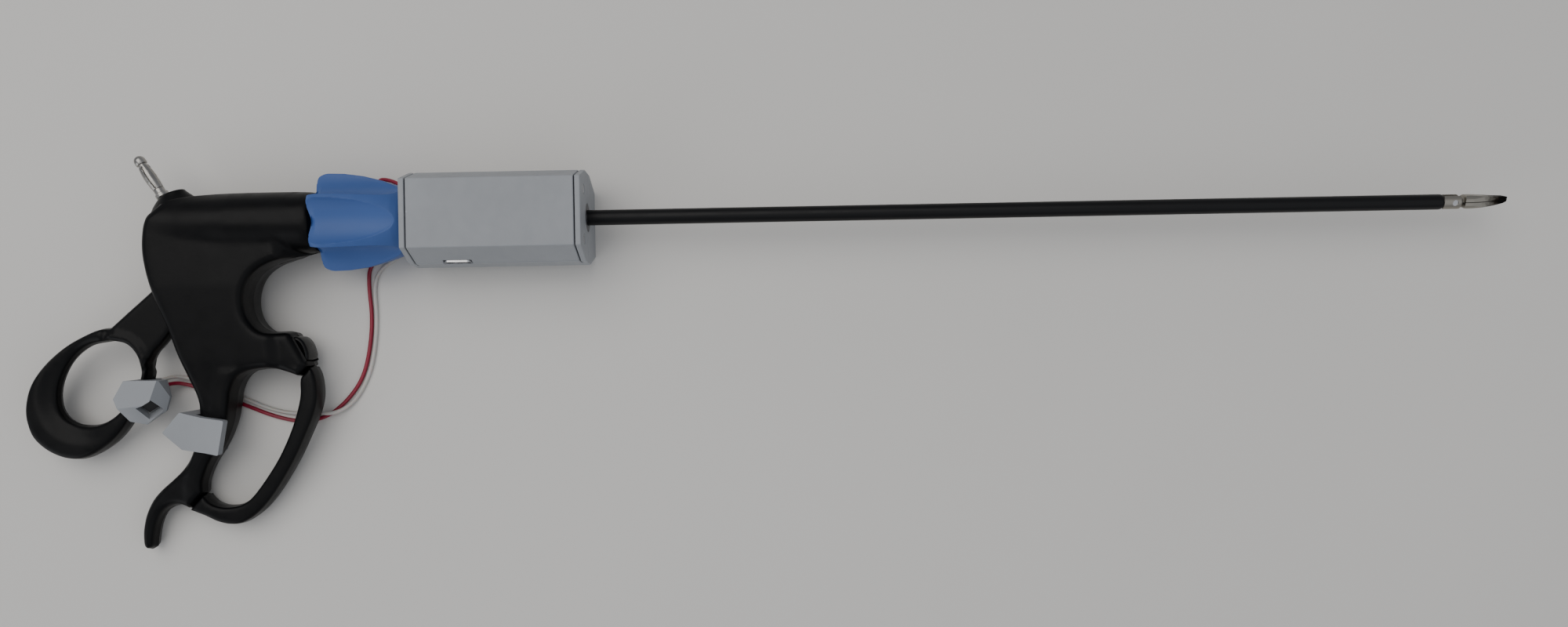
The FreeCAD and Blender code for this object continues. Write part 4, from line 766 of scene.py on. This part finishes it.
def softened(name, node, body, slotName, width, move=None, held=False):
    # The node's mesh without the lines on its flat faces, moved if asked, under a bevel; held keeps
    # the bevel from running past the ends of short edges
    shape = bmesh.new()
    shape.from_mesh(nodes[node].data)
    bmesh.ops.remove_doubles(shape, verts=shape.verts, dist=softening["weld"])
    bmesh.ops.dissolve_limit(shape, angle_limit=math.radians(softening["flat"]), verts=shape.verts,
                             edges=shape.edges)
    mesh = bpy.data.meshes.new(name)
    shape.to_mesh(mesh)
    shape.free()
    if move:
        spots = np.empty(len(mesh.vertices) * 3)
        mesh.vertices.foreach_get("co", spots)
        mesh.vertices.foreach_set("co", (move(spots.reshape(-1, 3) / mm) * mm).ravel())
    mesh.materials.clear()
    mesh.materials.append(materials[slotName])
    piece = newObject(name, mesh)
    edges = piece.modifiers.new("softEdges", "BEVEL")
    edges.width = width * mm
    edges.segments = softening["segments"]
    edges.limit_method = "ANGLE"
    edges.angle_limit = math.radians(softening["sharp"])
    edges.use_clamp_overlap = held
    dress(piece, body, node)


box = {"middle": -28.75, "stepFrom": 25.6, "stepTo": 27.4, "slit": 0.38}


def openSlits(spots):
    # Draws the cover and the base's upper walls back from the end plates, so that a slit shows
    out = spots[:, 0] - box["middle"]
    near = (np.abs(out) > box["stepFrom"]) & (np.abs(out) < box["stepTo"])
    spots[near, 0] -= np.sign(out[near]) * box["slit"]
    return spots


clipLeg = {"under": -1, "from": -35.5, "back": 4.6}


def shortLeg(spots):
    # The clip's lower leg ends under the post, so nothing of it shows in the finger opening
    x, y, z = spots.T
    low = z * math.cos(tilt) - y * math.sin(tilt) < clipLeg["under"]
    past = x - handleFront > clipLeg["from"]
    spots[low & past, 0] -= clipLeg["back"]
    return spots


softened("boxCover", "box_cover", "handle", "printed_grey", softening["box"], move=openSlits)
softened("boxBase", "box_base", "handle", "printed_grey", softening["box"], move=openSlits)
softened("boxFront", "box_front_plate", "handle", "printed_grey", softening["box"])
softened("boxRear", "box_rear_plate", "handle", "printed_grey", softening["box"])
softened("thumbClip", "sensor_clip_thumb", "thumb_lever", "printed_grey", softening["clip"], held=True)
softened("fingerClip", "sensor_clip_finger", "handle", "printed_grey", softening["clip"], move=shortLeg,
         held=True)
print("plug, sleeve, box and clips made")


# Leads: the solids' routes as smooth splines, moved by less than 10 mm to follow the photograph
leads = {
    "redLead": {
        "node": "red_wire", "slot": "wire_red", "diameter": 1.3, "length": 0.158,
        "route": [
            (-57.5, 9.5, -5.0), (-61.6, 12.0, -6.4), (-66.6, 15.2, -8.4), (-72.4, 16.4, -10.8),
            (-72.8, 12.0, -13.6), (-68.4, 6.6, -14.1), (-65.8, 1.0, -14.1), (-67.0, -4.6, -14.1),
            (-72.0, -8.8, -14.1), (-76.9, -12.6, -14.1), (-77.2, -19.6, -14.1), (-76.2, -29.5, -14.1),
            (-77.0, -39.8, -14.1), (-79.4, -50.0, -14.1),
            (-84.6, -57.6, -14.1), (-92.0, -63.6, -14.1), (-101.0, -65.1, -14.1), (-110.3, -62.9, -14.1),
            (-119.2, -59.2, -14.1), (-126.2, -56.3, -14.1), (-132.6, -53.9, -14.1), (-138.4, -51.7, -13.6),
            (-142.6, -50.9, -11.4), (-144.35, -52.0, -8.7),
        ],
    },
    "whiteLead": {
        "node": "white_wire", "slot": "wire_white", "diameter": 1.3, "length": 0.1377,
        "route": [
            (-57.5, 2.5, -11.5), (-61.2, 0.8, -13.5), (-63.2, -4.6, -14.1), (-67.4, -10.0, -14.1),
            (-73.4, -13.6, -14.1), (-75.4, -19.4, -14.1), (-74.6, -29.4, -14.1), (-75.4, -40.2, -14.1),
            (-77.4, -49.3, -14.1), (-82.2, -58.2, -14.1), (-88.6, -62.6, -12.2), (-95.8, -61.9, -12.4),
            (-103.6, -62.2, -14.1), (-111.6, -60.4, -14.1), (-119.5, -56.9, -14.1), (-126.0, -54.2, -14.1),
            (-132.4, -51.9, -14.1), (-137.9, -49.6, -13.4), (-142.3, -48.6, -11.0), (-144.5, -50.2, -7.6),
        ],
    },
}


def makeLead(name, lead):
    # A round curve drawn by the route's points, closed at both ends
    curve = bpy.data.curves.new(name, "CURVE")
    curve.dimensions = "3D"
    spline = curve.splines.new("NURBS")
    route = lead["route"]
    spline.points.add(len(route) - 1)
    for point, spot in zip(spline.points, route):
        point.co = (spot[0] * mm, spot[1] * mm, spot[2] * mm, 1.0)
    spline.order_u = 3
    spline.use_endpoint_u = True
    spline.resolution_u = 12
    curve.bevel_depth = lead["diameter"] / 2 * mm
    curve.bevel_resolution = 6
    curve.use_fill_caps = True
    curve.materials.append(materials[lead["slot"]])
    piece = newObject(name, curve)
    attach(piece, "handle")
    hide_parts(lead["node"])


for name, lead in leads.items():
    makeLead(name, lead)
print("leads laid")


# Stage and light
stageMiddle = (0.05, -0.05)   # metres
table = {"level": -14.75, "colour": (0.68, 0.665, 0.635), "size": 6.0}
bpy.ops.mesh.primitive_plane_add(size=table["size"], location=(*stageMiddle, table["level"] * mm))
floor = bpy.context.object
floor.name = "table"
mat, tree, shader = newMaterial("tableTop", 0.55)
place = objectPlace(tree)
soft = noise(tree, place, 6.0, 3.0)
link(tree, ramp(tree, soft, [(0.3, darker(table["colour"], 0.97)), (0.7, table["colour"])]),
     shader.inputs["Base Color"])
bump(tree, shader, noise(tree, place, 500.0, 2.0), 0.1, 0.0001)
floor.data.materials.append(mat)

lamps = [
    {"name": "ceiling", "size": 1.6, "power": 14.0, "at": (-0.5, 0.5, 1.5), "colour": (1.0, 0.97, 0.93)},
    {"name": "fill", "size": 2.0, "power": 5.0, "at": (0.7, -0.5, 1.3), "colour": (0.95, 0.97, 1.0)},
    {"name": "window", "size": 1.2, "power": 5.0, "at": (-1.1, -0.9, 0.55), "colour": (0.97, 0.98, 1.0)},
]
for lamp in lamps:
    light = bpy.data.lights.new(lamp["name"], "AREA")
    light.size = lamp["size"]
    light.energy = lamp["power"]
    light.color = lamp["colour"]
    item = newObject(lamp["name"], light)
    item.location = lamp["at"]
    aim = np.array([*stageMiddle, 0.0]) - np.array(lamp["at"])
    steep = math.acos(-aim[2] / np.linalg.norm(aim))
    item.rotation_euler = (steep, 0, math.atan2(aim[1], aim[0]) - math.pi / 2)

world = bpy.data.worlds.new("room")
world.use_nodes = True
backdrop = world.node_tree.nodes["Background"]
backdrop.inputs["Color"].default_value = (0.9, 0.93, 1.0, 1.0)
backdrop.inputs["Strength"].default_value = 0.35
scene.world = world
print("stage and light set")
